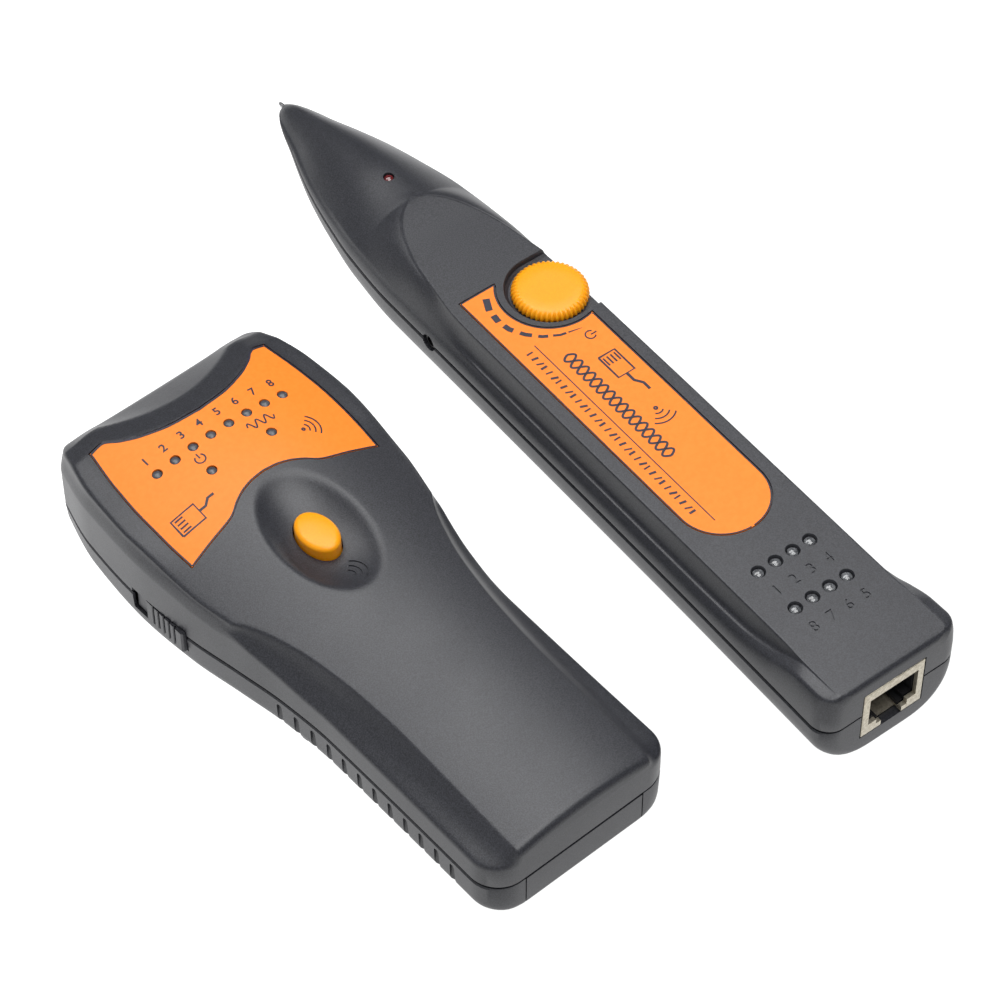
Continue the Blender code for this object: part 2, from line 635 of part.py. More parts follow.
WHEEL_AT, WHEEL_R, WHEEL_TOP, WHEEL_KNURLS = (7.5, 123.7), 8.75, 24.9, 24
WHEEL_POCKET_AT, WHEEL_POCKET_R, WHEEL_FLOOR = (7.7, 124.1), 9.9, 22.2
RX_LAMPS = [(x, y) for y in (35.5, 23.7) for x in (-7.0, -2.35, 2.35, 7.0)]
NOSE_LAMP = (0.0, 173.0)
RX_SCREWS = [(-9.0, 45.0), (9.0, 45.0), (-7.5, 165.0), (7.5, 165.0)]
RX_BOSS_TOPS = [22.8, 22.8, 17.0, 17.0]
RX_SOCKET_Z = 5.5
RX_DOOR = (-11.0, 50.0, 11.0, 108.0)
RX_LAMP_BOARD_Z = 16.2
RX_MAIN_BOARD_Z = 9.0
EAR_SOCKET_Y = 135.4


def rx_width(y):
    return RX_HALF_WIDTH(y) - rounding(y, RX_CORNER)


def rx_top(x, y):
    """Height of the flat upper surface."""
    return RX_MIDDLE(y) - 0.0006 * x * x - rounding(y, RX_EDGE)


def rx_fall(y, t, drop):
    """How far the section has fallen at t of the way from the plateau's edge to the ridge."""
    arch = RX_ARCH(y)
    step = RX_STEP(y) / max(drop, 0.5) * min(t / 0.1, 1.0)
    fall = (1 - arch) * (1 - (1 - t) ** RX_SCOOP(y)) + arch * t**1.9
    return step + (1 - step) * fall


def rx_front_half(y, steps=4, scoop_steps=7):
    """Right half of the front cover's section: plateau, scooped groove, ridge, wall."""
    w = rx_width(y)
    p = min(RX_PLATEAU(y), w - 3.2 * min(1.0, w / 12))
    r = min(RX_RIDGE_X(y), w - 1.3 * min(1.0, w / 8))
    s = w - 0.9 * min(1.0, w / 8)
    edge = rx_top(p, y)
    ridge = min(RX_RIDGE_Z(y), edge) - (rounding(y, RX_EDGE) if y < RX_EDGE else 0.0)
    shoulder = min(RX_SHOULDER_Z(y) - rounding(y, RX_EDGE), ridge - 0.05)
    points = [(x, rx_top(x, y)) for x in spread(0.0, p, steps)]
    for t in spread(0.0, 1.0, scoop_steps + 1)[1:]:
        points.append((p + (r - p) * t, edge + (ridge - edge) * rx_fall(y, t, edge - ridge)))
    foot = RX_PARTING + HALF_GAP
    points.append((s, shoulder))
    points.append((w - 0.3, foot + (shoulder - foot) * 0.72))
    points.append((w, foot + (shoulder - foot) * 0.35))
    return [*points, (w, foot)]


def rx_cavity_half(y):
    w = rx_width(y) - WALL
    roof = RX_MIDDLE(y) - RX_ROOF(y)
    inner = min(RX_PLATEAU(y) - 1.1, w - 1.5) if y < 142 else w * 0.38
    side = min(RX_RIDGE_Z(y) - 2.2, roof - 1.2)
    shelf = [(inner + 0.3, side), (w, side - 0.6), (w, RX_PARTING - 1)]
    return [(0.0, roof), (inner * 0.9, roof), (inner, roof - 0.8), *shelf]


def rx_belly_half(y, steps=6):
    """Right half of the lower shell's section: flat in the middle, rounded up to the parting line."""
    w = rx_width(y)
    low = RX_BELLY(y) + rounding(y, 1.4)
    flat = min(RX_FLAT, 0.3 * w)
    top = RX_PARTING - HALF_GAP
    points = [(0.0, low)]
    for t in spread(0.0, 1.0, steps):
        a = 0.5 * math.pi * t
        points.append((flat + (w - flat) * math.sin(a) ** 0.85, top - (top - low) * math.cos(a) ** 0.8))
    return points


def rx_belly_cavity_half(y):
    w = rx_width(y) - WALL
    low = RX_BELLY(y) + 2.0
    rise = (RX_PARTING - low) / 11
    side = [(0.83 * w, low + 1.2 * rise), (w, low + 6.0 * rise), (w, RX_PARTING + 1)]
    return [(0.0, low), (0.62 * w, low), *side]


def rx_stations():
    nose = [166, 172, 178, 184, 190, 196, 201, 205.5, 209, 211.5, 213, 214]
    groove = [9, 12, 15, 19, 24, 30, 40]
    tongue = [126, 136, 144, 150, 155.5, 160.5, 163.5]
    return sorted(end_stations(0.0, RX_CORNER, 1, 4) + groove + spread(56, 116, 4) + tongue + nose)


RX_LABEL_HALF, RX_LABEL_ROUND, RX_LABEL_TOP = 10.8, 56.0, 132.3  # half width, centre of its round end, top
LABEL_BITE, LABEL_BITE_R = (7.4, 124.3), 11.75


def rx_label_grid(grow, across=5):
    """Rows from the label's round end to its top, with the bite round the wheel in its right side."""
    half = RX_LABEL_HALF + grow
    turns = [math.radians(a) for a in spread(2, 90, 7)]
    round_end = [(half * math.sin(a), RX_LABEL_ROUND - (half - 0.2) * math.cos(a)) for a in turns]
    left = [(-x, y) for x, y in round_end] + [(-half, RX_LABEL_TOP + grow)]
    bite = arc(LABEL_BITE, LABEL_BITE_R - grow, 286, 138, 9)
    right = [*round_end, (half, bite[0][1]), *bite, (bite[-1][0], RX_LABEL_TOP + grow)]
    sides = zip(along(left, 30), along(right, 30))
    return [list(zip(spread(lx, rx, across), spread(ly, ry, across))) for (lx, ly), (rx, ry) in sides]


# ---------------------------------------------------------------- receiver: pieces


def socket_room(margin):
    half, z = SOCKET_W / 2 + margin, RX_SOCKET_Z
    return box((-half, -2, z - margin), (half, SOCKET_DEPTH + 1, z + SOCKET_H + margin))


def make_rx_covers(rx):
    front = make_object("rx_front_cover", section_loft(rx_stations(), rx_front_half), "case_plastic", rx)
    inner = [WALL, 20, 30, 60, 109, 112, 135, 138, 150, 165, 178, 190, 200, 207]
    boolean(front, section_loft(inner, rx_cavity_half))
    for (x, y), top in zip(RX_SCREWS, RX_BOSS_TOPS):
        boolean(front, turned((x, y), [(2.5, RX_PARTING + GAP), (2.5, top)], 10), "UNION")
        boolean(front, turned((x, y), [(SCREW_R + 0.3, 12), (SCREW_R + 0.3, 16.0)], 8))
    boolean(front, skin(rx_label_grid(GAP), rx_top, -0.55, 2.0))
    x, y = WHEEL_POCKET_AT
    r = WHEEL_POCKET_R
    pocket = [*arc((x, y), r, 90, 270, 17), (19.5, y - r), (19.5, y + r)]
    boolean(front, prism(pocket, WHEEL_FLOOR, 30, "z"))
    boolean(front, turned(WHEEL_AT, [(3.4, 10), (3.4, 24)], 12))
    lamps = [turned(at, [(LAMP_R + GAP, 20), (LAMP_R + GAP, 30)], 10) for at in (*RX_LAMPS, NOSE_LAMP)]
    boolean(front, merged(*lamps))
    boolean(front, socket_room(GAP))
    boolean(front, ear_hole())
    boolean(front, probe_hole())

    back = make_object("rx_back_cover", section_loft(rx_stations(), rx_belly_half), "case_plastic", rx)
    belly_inner = [WALL, 20, 50, 90, 130, 150, 165, 178, 190, 200, 207]
    boolean(back, section_loft(belly_inner, rx_belly_cavity_half))
    for x, y in RX_SCREWS:
        floor = RX_BELLY(y)
        boolean(back, turned((x, y), [(3.9, floor + 1.2), (3.9, RX_PARTING - GAP)], 10), "UNION")
        sunk = SCREW_HEAD_R + GAP
        boolean(back, turned((x, y), [(sunk, floor - 2), (sunk, floor + 6.4)], 10))
        boolean(back, turned((x, y), [(SCREW_R + GAP, 0), (SCREW_R + GAP, 15)], 10))
    boolean(back, socket_room(GAP))
    boolean(back, ear_hole())
    boolean(back, probe_hole())
    x0, y0, x1, y1 = RX_DOOR
    boolean(back, box((x0 - GAP, y0 - GAP, -1), (x1 + GAP, y1 + GAP, 6)))
    panel = section_loft([40, 50, 70, 90, 108, 116], rx_belly_half)
    door = make_object("rx_battery_cover", panel, "case_plastic", rx)
    boolean(door, box((x0, y0, -1), (x1, y1, 2.0)), "INTERSECT")


def ear_hole():
    outline = round_outline((EAR_SOCKET_Y, RX_PARTING), (2.1, 2.1), 12)
    return prism(outline, -22, -12, "x")


def probe_hole():
    return prism(round_outline((0.0, RX_PARTING), (0.9, 0.9), 10), 195, 216, "y")


def make_rx_wheel(rx):
    """The knurled volume wheel, with its stem down to the control below."""
    ring_z = [(0.96, 22.5), (1.0, 22.8), (1.0, 23.3), (0.955, 24.2), (0.88, 24.7), (0.8, WHEEL_TOP)]
    count = 2 * WHEEL_KNURLS
    rings = []
    for scale, z in ring_z:
        depth = 0.45 if z < 24.3 else 0.1
        ring = []
        for i in range(count):
            r = WHEEL_R * scale - (depth if i % 2 else 0.0)
            a = 2 * math.pi * i / count
            ring.append((r * math.cos(a), r * math.sin(a), z))
        rings.append(ring)
    wheel = make_object("rx_volume_wheel", loft(rings), "amber_plastic", rx)
    wheel.location = (WHEEL_AT[0] * MM, WHEEL_AT[1] * MM, 0)
    stem_shape = turned((0, 0), [(2.6, 16.6), (2.6, 23.5)], 12)
    stem = make_object("rx_wheel_stem_join", stem_shape, None, wheel, cutter=True)
    join = wheel.modifiers.new("stem", "BOOLEAN")
    join.object = stem
    join.operation = "UNION"


def make_rx_inside(rx):
    x, y = WHEEL_AT
    board = RX_MAIN_BOARD_Z
    outline = [(-9, 113), (9, 113), (13.0, 118), (13.0, 150), (8, 168), (-8, 168), (-13.0, 150), (-13.0, 118)]
    main = make_object("rx_main_board", prism(outline, board, board + BOARD), "board_green", rx)
    for at in RX_SCREWS[2:]:
        boolean(main, turned(at, [(4.4, 5), (4.4, 20)], 10))
    control = box((x - 5, y - 5.5, board + BOARD + GAP), (x + 5, y + 5.5, 16.2))
    make_object("rx_volume_control", control, "steel", rx)
    lamp_board = RX_LAMP_BOARD_Z
    board = box((-11.0, 17.6, lamp_board), (11.0, 39.5, lamp_board + BOARD))
    make_object("rx_lamp_board", board, "board_green", rx)
    for i, at in enumerate(RX_LAMPS):
        make_lamp(f"rx_lamp_{i + 1}", rx, at, 23.75, lamp_board + BOARD, "clear_lens")
    make_lamp("rx_nose_lamp", rx, NOSE_LAMP, RX_MIDDLE(NOSE_LAMP[1]) + 0.35, 16.5, "red_lens")
    make_battery("rx_battery", rx, (-12.5, 52.5, 4.2), True)
    make_snap("rx_battery_snap", rx, (0.0, 12.2), 103.0, 1)
    body = box((-14.6, EAR_SOCKET_Y - 3, 10.9), (-5.5, EAR_SOCKET_Y + 3, 15.0))
    jack = make_object("rx_ear_socket", body, "black_plastic", rx)
    barrel = round_outline((EAR_SOCKET_Y, RX_PARTING), (1.8, 1.8), 12)
    boolean(jack, prism(barrel, -16.6, -14.0, "x"), "UNION")
    boolean(jack, prism(round_outline((EAR_SOCKET_Y, RX_PARTING), (1.25, 1.25), 10), -20, -7.0, "x"))
    speaker = turned((0, 145), [(9.0, 2.4), (9.0, 5.0), (6.0, 5.2), (6.0, 7.4)], 20)
    make_object("rx_speaker", speaker, "black_plastic", rx)
    for i, (sx, sy) in enumerate(RX_SCREWS):
        make_screw(f"rx_case_screw_{i + 1}", rx, (sx, sy), RX_BELLY(sy) + 4.2, 11.0 - RX_BELLY(sy))


def make_rx_socket(rx):
    """The eight-way test socket: a nickel shield with a stepped mouth, and its plastic insert."""
    half, z = SOCKET_W / 2, RX_SOCKET_Z
    body = box((-half, -0.1, z), (half, SOCKET_DEPTH, z + SOCKET_H))
    shield = make_object("rx_socket_shield", body, "nickel", rx)
    boolean(shield, box((-half + 0.6, 0.9, z + 0.6), (half - 0.6, SOCKET_DEPTH + 1, z + SOCKET_H - 0.6)))
    for part in socket_mouth(0.0, z + 3.0, PLUG_W + 0.4, PLUG_H + 0.3, -1, 2, latch=True):
        boolean(shield, part)
    insert = box((-half + 0.9, 1.2, z + 0.9), (half - 0.9, SOCKET_DEPTH - 0.5, z + SOCKET_H - 0.9))
    insert = make_object("rx_socket_insert", insert, "black_plastic", rx)
    for part in socket_mouth(0.0, z + 3.2, PLUG_W, PLUG_H, 0, 12.5):
        boolean(insert, part)


def make_rx_label(rx):
    make_object("rx_label", skin(rx_label_grid(0.0), rx_top, -0.25, 0.15), "label_print", rx)


def make_rx_probe(rx):
    """The metal probe pin, held in the nose with its thicker root inside."""
    profile = [(0.3, 189.0), (1.3, 189.3), (1.3, 194.0), (0.55, 194.3), (0.55, 215.2), (0.2, 216.0)]
    rings = [[(x, y, z) for x, z in round_outline((0.0, RX_PARTING), (r, r), 10)] for r, y in profile]
    make_object("rx_probe_pin", loft(rings), "steel", rx)


def place(name, at, turn):
    empty = bpy.data.objects.new(name, None)
    bpy.context.collection.objects.link(empty)
    empty.location = (at[0] * MM, at[1] * MM, 0)
    empty.rotation_euler = (0, 0, turn)
    return empty


def main():
    clear_scene()
    tx = place("transmitter", TX_PLACE, 0.0)
    make_tx_covers(tx)
    make_tx_label(tx)
    make_tx_button(tx)
    make_tx_slide(tx)
    make_tx_inside(tx)
    rx = place("receiver", RX_PLACE, RX_TURN)
    make_rx_covers(rx)
    make_rx_label(rx)
    make_rx_wheel(rx)
    make_rx_socket(rx)
    make_rx_probe(rx)
    make_rx_inside(rx)


main()
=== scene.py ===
"""Visual model of the tone probe kit.

Each device is shaped in its own frame in millimetres, as in the CAD: x across, y along, z up.
Along the transmitter y is 0 at its lamp row, and along the receiver y is 0 at its socket face.
"""

from math import cos, dist, hypot, pi, radians, sin, sqrt

import bmesh
import bpy
from mathutils import Matrix, Vector


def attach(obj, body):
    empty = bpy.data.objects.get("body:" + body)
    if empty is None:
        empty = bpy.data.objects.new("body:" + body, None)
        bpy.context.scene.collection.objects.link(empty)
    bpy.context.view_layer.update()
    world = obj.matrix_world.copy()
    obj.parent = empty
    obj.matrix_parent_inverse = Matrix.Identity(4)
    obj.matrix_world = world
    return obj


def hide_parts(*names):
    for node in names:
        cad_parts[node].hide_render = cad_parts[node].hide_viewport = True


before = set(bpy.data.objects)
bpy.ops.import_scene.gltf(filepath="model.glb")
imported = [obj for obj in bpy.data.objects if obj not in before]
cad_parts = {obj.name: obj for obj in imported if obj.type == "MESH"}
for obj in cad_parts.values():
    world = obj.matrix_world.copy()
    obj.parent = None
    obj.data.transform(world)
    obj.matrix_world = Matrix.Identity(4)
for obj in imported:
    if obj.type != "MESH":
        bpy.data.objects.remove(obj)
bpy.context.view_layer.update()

MM = Matrix.Scale(0.001, 4)
TX_FRAME = Matrix.Translation((-0.031465, 0.026435, 0)) @ MM
RX_FRAME = Matrix.Translation((0.037535, -0.107465, 0)) @ Matrix.Rotation(radians(-3.1), 4, "Z") @ MM
TX = (TX_FRAME, "transmitter")
RX = (RX_FRAME, "receiver")

GAP = 0.3
HALF_GAP = 0.27  # half the shadow gap between the two covers
WALL = 1.9
LIP, LIP_RISE = 0.3, 0.4  # chamfer of both covers along the parting line
PAST_END = 120.0  # further along y than either end of the transmitter
SHARP_ANGLE = radians(32)
GRAIN_DEPTH = 0.00004  # metres
GRAIN_DETAIL = 3.0
GLOSS_SCALE = 0.02  # how slowly the gloss changes, against the grain
BORE = 1.6  # radius of a case screw's hole in the covers
INK_AND_SHADE_DEPTH = (-0.03, 0.02)  # how far the printed ink, and the painted shade drawn along the labels' edges, reach below and above the label's surface
FILM_DEPTH = (-0.5, -0.04)  # the label's film, let into the cover
FILM_ROOM = (-0.6, 2.0)


# ---------------- numbers and lines


def curve(*points):
    """A smooth curve through (station, value) pairs, without overshoot."""
    at, values = zip(*points)
    rise = [(v1 - v0) / (a1 - a0) for a0, a1, v0, v1 in zip(at, at[1:], values, values[1:])]
    inner = [0.0 if a * b <= 0 else 2 * a * b / (a + b) for a, b in zip(rise, rise[1:])]
    slope = [rise[0], *inner, rise[-1]]

    def value(x):
        x = min(max(x, at[0]), at[-1])
        i = max(k for k in range(len(at) - 1) if at[k] <= x)
        step = at[i + 1] - at[i]
        t = (x - at[i]) / step
        s = 1 - t
        ends = s * s * (1 + 2 * t) * values[i] + t * t * (1 + 2 * s) * values[i + 1]
        return ends + step * s * t * (s * slope[i] - t * slope[i + 1])

    return value


def rounding(distance, radius):
    """How far a rounded edge draws a surface in, at this distance from the end."""
    short = max(radius - distance, 0.0)
    return radius - sqrt(max(radius * radius - short * short, 0.0))


def spread(first, last, count):
    """Evenly spaced values from first to last."""
    return [first + (last - first) * i / (count - 1) for i in range(count)]


def end_stations(end, radius, inward, count):
    """Stations that close up towards an end, so that its rounding is smooth."""
    return [end + inward * radius * (1 - cos(0.5 * pi * i / count)) for i in range(count + 1)]


def rounded_line(points, cuts, steps=3):
    """A bent line with each inner corner rounded, starting this far before the corner."""
    line = [points[0]]
    for before, corner, after, cut in zip(points, points[1:], points[2:], cuts):
        ends = []
        for other in (before, after):
            reach = max(dist(corner, other), 1e-6)
            t = min(cut / reach, 0.48)
            ends.append([c + (o - c) * t for c, o in zip(corner, other)])
        for t in spread(0.0, 1.0, steps + 1):
            s = 1 - t
            trios = zip(ends[0], corner, ends[1])
            line.append(tuple(s * s * a + 2 * s * t * c + t * t * b for a, c, b in trios))
    return [*line, points[-1]]


def along(points, count):
    """Points evenly spaced by length along a bent line."""
    reach = [0.0]
    for a, b in zip(points, points[1:]):
        reach.append(reach[-1] + dist(a, b))
    found = []
    for goal in spread(0.0, reach[-1], count):
        i = min(max(k for k in range(len(reach)) if reach[k] <= goal + 1e-9), len(points) - 2)
        t = (goal - reach[i]) / (reach[i + 1] - reach[i])
        found.append(tuple(a + (b - a) * t for a, b in zip(points[i], points[i + 1])))
    return found


def arc(centre, radius, start, end, count):
    """Points on an arc between two angles in degrees."""
    turns = [radians(a) for a in spread(start, end, count)]
    return [(centre[0] + radius * cos(a), centre[1] + radius * sin(a)) for a in turns]


# ---------------- meshes


def loft(sections):
    """A closed solid through rings of the same number of points."""
    bm = bmesh.new()
    rings = [[bm.verts.new(point) for point in ring] for ring in sections]
    count = len(rings[0])
    for lower, upper in zip(rings, rings[1:]):
        for i in range(count):
            k = (i + 1) % count
            bm.faces.new((lower[i], lower[k], upper[k], upper[i]))
    bm.faces.new(rings[0][::-1])
    bm.faces.new(rings[-1])
    return bm


def section_loft(stations, half_section):
    """Lofts mirrored sections along y, each closed by a straight line between its two ends."""
    rings = []
    for y in stations:
        half = half_section(y)
        whole = [(-x, z) for x, z in reversed(half[1:])] + list(half)
        rings.append([(x, y, z) for x, z in whole])
    return loft(rings)


def box(low, high, bevel=0.0):
    bm = bmesh.new()
    bmesh.ops.create_cube(bm, size=1.0)
    bmesh.ops.scale(bm, vec=[b - a for a, b in zip(low, high)], verts=bm.verts)
    bmesh.ops.translate(bm, vec=[(a + b) / 2 for a, b in zip(low, high)], verts=bm.verts)
    if bevel:
        bmesh.ops.bevel(bm, geom=bm.edges[:], offset=bevel, segments=3, profile=0.5, affect="EDGES")
    return bm


def prism(outline, low, high, axis="z"):
    """An outline pushed from low to high along an axis."""
    place = {
        "z": lambda a, b, h: (a, b, h),
        "y": lambda a, b, h: (a, h, b),
        "x": lambda a, b, h: (h, a, b),
    }[axis]
    return loft([[place(a, b, h) for a, b in outline] for h in (low, high)])


def oval(centre, radii, count=32):
    turns = [2 * pi * i / count for i in range(count)]
    return [(centre[0] + radii[0] * cos(a), centre[1] + radii[1] * sin(a)) for a in turns]


def turned(centre, profile, count=32):
    """A solid of rings about an upright line: profile is (radius, z) from bottom to top."""
    return loft([[(x, y, z) for x, y in oval(centre, (r, r), count)] for r, z in profile])


def rod(centre, radius, low, high, count=20):
    """A straight upright rod."""
    return turned(centre, [(radius, low), (radius, high)], count)


def turned_y(centre, profile, count=32):
    """The same about a line along y: profile is (radius, y), centre is (x, z)."""
    return loft([[(x, y, z) for x, z in oval(centre, (r, r), count)] for r, y in profile])


def skin(grid, height, low, high):
    """A thin closed sheet over a grid of (x, y) rows, at the surface height plus low and high."""
    bm = bmesh.new()

    def layer(lift):
        return [[bm.verts.new((x, y, height(x, y) + lift)) for x, y in row] for row in grid]

    under, over = layer(low), layer(high)
    last, side = len(grid) - 1, len(grid[0]) - 1
    for j in range(last):
        for i in range(side):
            bm.faces.new((under[j][i], under[j + 1][i], under[j + 1][i + 1], under[j][i + 1]))
            bm.faces.new((over[j][i], over[j][i + 1], over[j + 1][i + 1], over[j + 1][i]))
        for i in (0, side):
            bm.faces.new((under[j][i], under[j + 1][i], over[j + 1][i], over[j][i]))
    for i in range(side):
        for j in (0, last):
            bm.faces.new((under[j][i], under[j][i + 1], over[j][i + 1], over[j][i]))
    return bm


def stroke(points, width, height, low, high):
    """A drawn line of this width that lies on a surface; width may change from its start to its end."""
    widths = width if isinstance(width, tuple) else (width, width)
    grid = []
    for i, (x, y) in enumerate(points):
        (x0, y0), (x1, y1) = points[max(i - 1, 0)], points[min(i + 1, len(points) - 1)]
        length = hypot(x1 - x0, y1 - y0)
        half = 0.5 * (widths[0] + (widths[1] - widths[0]) * i / (len(points) - 1))
        nx, ny = -(y1 - y0) / length * half, (x1 - x0) / length * half
        grid.append([(x + nx, y + ny), (x - nx, y - ny)])
    return skin(grid, height, low, high)


def linked(name, data):
    """A new object in the scene."""
    obj = bpy.data.objects.new(name, data)
    bpy.context.scene.collection.objects.link(obj)
    return obj


def evaluated(obj):
    """The object's mesh with its modifiers applied."""
    graph = bpy.context.evaluated_depsgraph_get()
    return bpy.data.meshes.new_from_object(obj.evaluated_get(graph))


def digit(text, size, at, height, low, high, bold=0.0):
    """A printed or engraved number centred at a point: a thin solid that follows a surface."""
    font = bpy.data.curves.new("digit", "FONT")
    font.body = text
    font.size = size
    font.align_x = "CENTER"
    font.align_y = "CENTER"
    font.extrude = 0.5
    font.offset = bold
    font.resolution_u = 4
    holder = linked("digit", font)
    mesh = evaluated(holder)
    bm = bmesh.new()
    bm.from_mesh(mesh)
    bpy.data.objects.remove(holder)
    bpy.data.curves.remove(font)
    bpy.data.meshes.remove(mesh)
    bmesh.ops.remove_doubles(bm, verts=bm.verts, dist=1e-5)
    for v in bm.verts:
        x, y = v.co.x + at[0], v.co.y + at[1]
        v.co = (x, y, height(x, y) + (high if v.co.z > 0 else low))
    return bm


def merged(parts):
    """All these meshes as one."""
    whole = bmesh.new()
    for part in parts:
        mesh = bpy.data.meshes.new("part")
        part.to_mesh(mesh)
        part.free()
        whole.from_mesh(mesh)
        bpy.data.meshes.remove(mesh)
    return whole


def to_mesh(bm, place):
    """The finished mesh, moved out of its device's frame."""
    bmesh.ops.recalc_face_normals(bm, faces=bm.faces)
    bm.transform(place)
    mesh = bpy.data.meshes.new("shape")
    bm.to_mesh(mesh)
    bm.free()
    return mesh


def crisp(obj):
    """Smooth shading, with real edges kept sharp."""
    obj.data.shade_smooth()
    obj.data.set_sharp_from_angle(angle=SHARP_ANGLE)


def piece(name, bm, device, look, replaces=(), body=None):
    """A visible piece, in the device's frame, that rides on its body."""
    place, own_body = device
    obj = linked(name, to_mesh(bm, place))
    material, slot = look
    obj.data.materials.append(material)
    crisp(obj)
    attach(obj, body or own_body)
    if replaces:
        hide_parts(*replaces)
    return obj


def cut(obj, device, *tools, operation="DIFFERENCE"):
    """Cuts solids that don't touch one another out of a piece, and applies the result."""
    tool = linked("tool", to_mesh(merged(tools), device[0]))
    change = obj.modifiers.new("cut", "BOOLEAN")
    change.operation = operation
    change.object = tool
    mesh = evaluated(obj)
    obj.modifiers.clear()
    old = obj.data
    obj.data = mesh
    bpy.data.meshes.remove(old)
    bpy.data.meshes.remove(tool.data)
    crisp(obj)


# ---------------- materials


def srgb(*display):
    """A display colour, 0 to 255, as the linear colour that a shader takes."""
    return tuple(c / 255 / 12.92 if c <= 10 else ((c / 255 + 0.055) / 1.055) ** 2.4 for c in display)


def nodes_of(name, **sockets):
    """A new Principled material with these constant sockets, and its tree."""
    made = bpy.data.materials.new(name)
    made.use_nodes = True
    shader = made.node_tree.nodes["Principled BSDF"]
    for socket, value in sockets.items():
        shader.inputs[socket.replace("_", " ")].default_value = value
    return made, made.node_tree, shader


def noise(tree, scale, detail=2.0):
    coordinates = tree.nodes.new("ShaderNodeTexCoord")
    texture = tree.nodes.new("ShaderNodeTexNoise")
    texture.inputs["Scale"].default_value = scale
    texture.inputs["Detail"].default_value = detail
    tree.links.new(coordinates.outputs["Object"], texture.inputs["Vector"])
    return texture.outputs["Fac"]


def ramp(tree, source, stops):
    """A colour that follows the source through these (place, colour) stops."""
    found = tree.nodes.new("ShaderNodeValToRGB")
    elements = found.color_ramp.elements
    while len(elements) < len(stops):
        elements.new(0.5)
    for element, (place, colour) in zip(elements, stops):
        element.position = place
        element.color = (*colour, 1.0)
    tree.links.new(source, found.inputs["Fac"])
    return found.outputs["Color"]


def bump(tree, shader, source, strength, distance):
    node = tree.nodes.new("ShaderNodeBump")
    node.inputs["Strength"].default_value = strength
    node.inputs["Distance"].default_value = distance
    tree.links.new(source, node.inputs["Height"])
    tree.links.new(node.outputs["Normal"], shader.inputs["Normal"])


def ranged(tree, source, to, within=(0.0, 1.0)):
    """A value that goes through the range to while the source goes through the range within."""
    node = tree.nodes.new("ShaderNodeMapRange")
    for end, value in zip(("From Min", "From Max", "To Min", "To Max"), (*within, *to)):
        node.inputs[end].default_value = value
    tree.links.new(source, node.inputs["Value"])
    return node.outputs["Result"]


def grained(name, slot, dark, light, roughness, grain, strength, **sockets):
    """A moulded or rolled surface, and its slot: two tones in a fine grain that is also its bump."""
    made, tree, shader = nodes_of(name, **sockets)
    fine = noise(tree, grain, GRAIN_DETAIL)
    tone = ramp(tree, fine, [(0.36, srgb(*dark)), (0.66, srgb(*light))])
    tree.links.new(tone, shader.inputs["Base Color"])
    slow = noise(tree, grain * GLOSS_SCALE, GRAIN_DETAIL)
    tree.links.new(ranged(tree, slow, roughness), shader.inputs["Roughness"])
    bump(tree, shader, fine, strength, GRAIN_DEPTH)
    return made, slot


PLASTIC = grained("case_plastic", "case_plastic", (32, 33, 37), (54, 55, 61), (0.34, 0.45), 3400, 0.5)
LABEL = grained(
    "label_film", "label_print", (246, 129, 40), (248, 134, 45), (0.4, 0.48), 900, 0.02,
    Specular_IOR_Level=0.25,
)
# Dark print on both labels. The same material also draws painted shade: dark lines along the labels' edges
# where the gap round each label lies in shadow.
PRINT_AND_EDGE_SHADE = grained("label_ink_and_edge_shade", "label_print", (26, 26, 40), (38, 38, 56), (0.45, 0.6), 3000, 0.05)
AMBER = grained(
    "amber_plastic", "amber_plastic", (247, 152, 15), (249, 160, 20), (0.24, 0.33), 2600, 0.04,
    Specular_IOR_Level=0.34, Subsurface_Weight=0.1,
)
BLACK = grained("black_plastic", "black_plastic", (12, 12, 14), (26, 26, 29), (0.4, 0.55), 2500, 0.2)
NICKEL = grained(
    "nickel_sheet", "nickel", (176, 168, 150), (206, 199, 182), (0.28, 0.42), 1500, 0.12, Metallic=0.75
)
STEEL = grained(
    "turned_steel", "steel", (150, 150, 152), (196, 196, 198), (0.25, 0.4), 2200, 0.15, Metallic=1.0
)
GOLD = grained("contact_gold", "nickel", (110, 80, 30), (140, 104, 44), (0.2, 0.32), 2500, 0.08, Metallic=1.0)
BOARD = grained("solder_mask", "board", (14, 84, 42), (30, 112, 60), (0.3, 0.45), 420, 0.2)
JACKET = grained(
    "battery_jacket", "battery_wrap", (24, 34, 62), (34, 48, 82), (0.28, 0.4), 300, 0.05, Metallic=0.5
)
SMOKED = grained(
    "smoked_lens", "smoked_lens", (58, 60, 66), (78, 80, 86), (0.3, 0.42), 1800, 0.05, Coat_Weight=0.2
)
CLEAR = grained(
    "clear_lens", "clear_lens", (92, 94, 98), (150, 152, 156), (0.05, 0.1), 1200, 0.03,
    Coat_Weight=1.0, Transmission_Weight=0.55,
)
RED = grained(
    "red_lens", "red_lens", (88, 22, 28), (128, 44, 48), (0.08, 0.16), 1200, 0.03,
    Coat_Weight=1.0, Transmission_Weight=0.3,
)
SPEAKER = grained("speaker_paper", "speaker", (22, 22, 24), (44, 44, 46), (0.6, 0.75), 1600, 0.3)


# ---------------- transmitter: shape

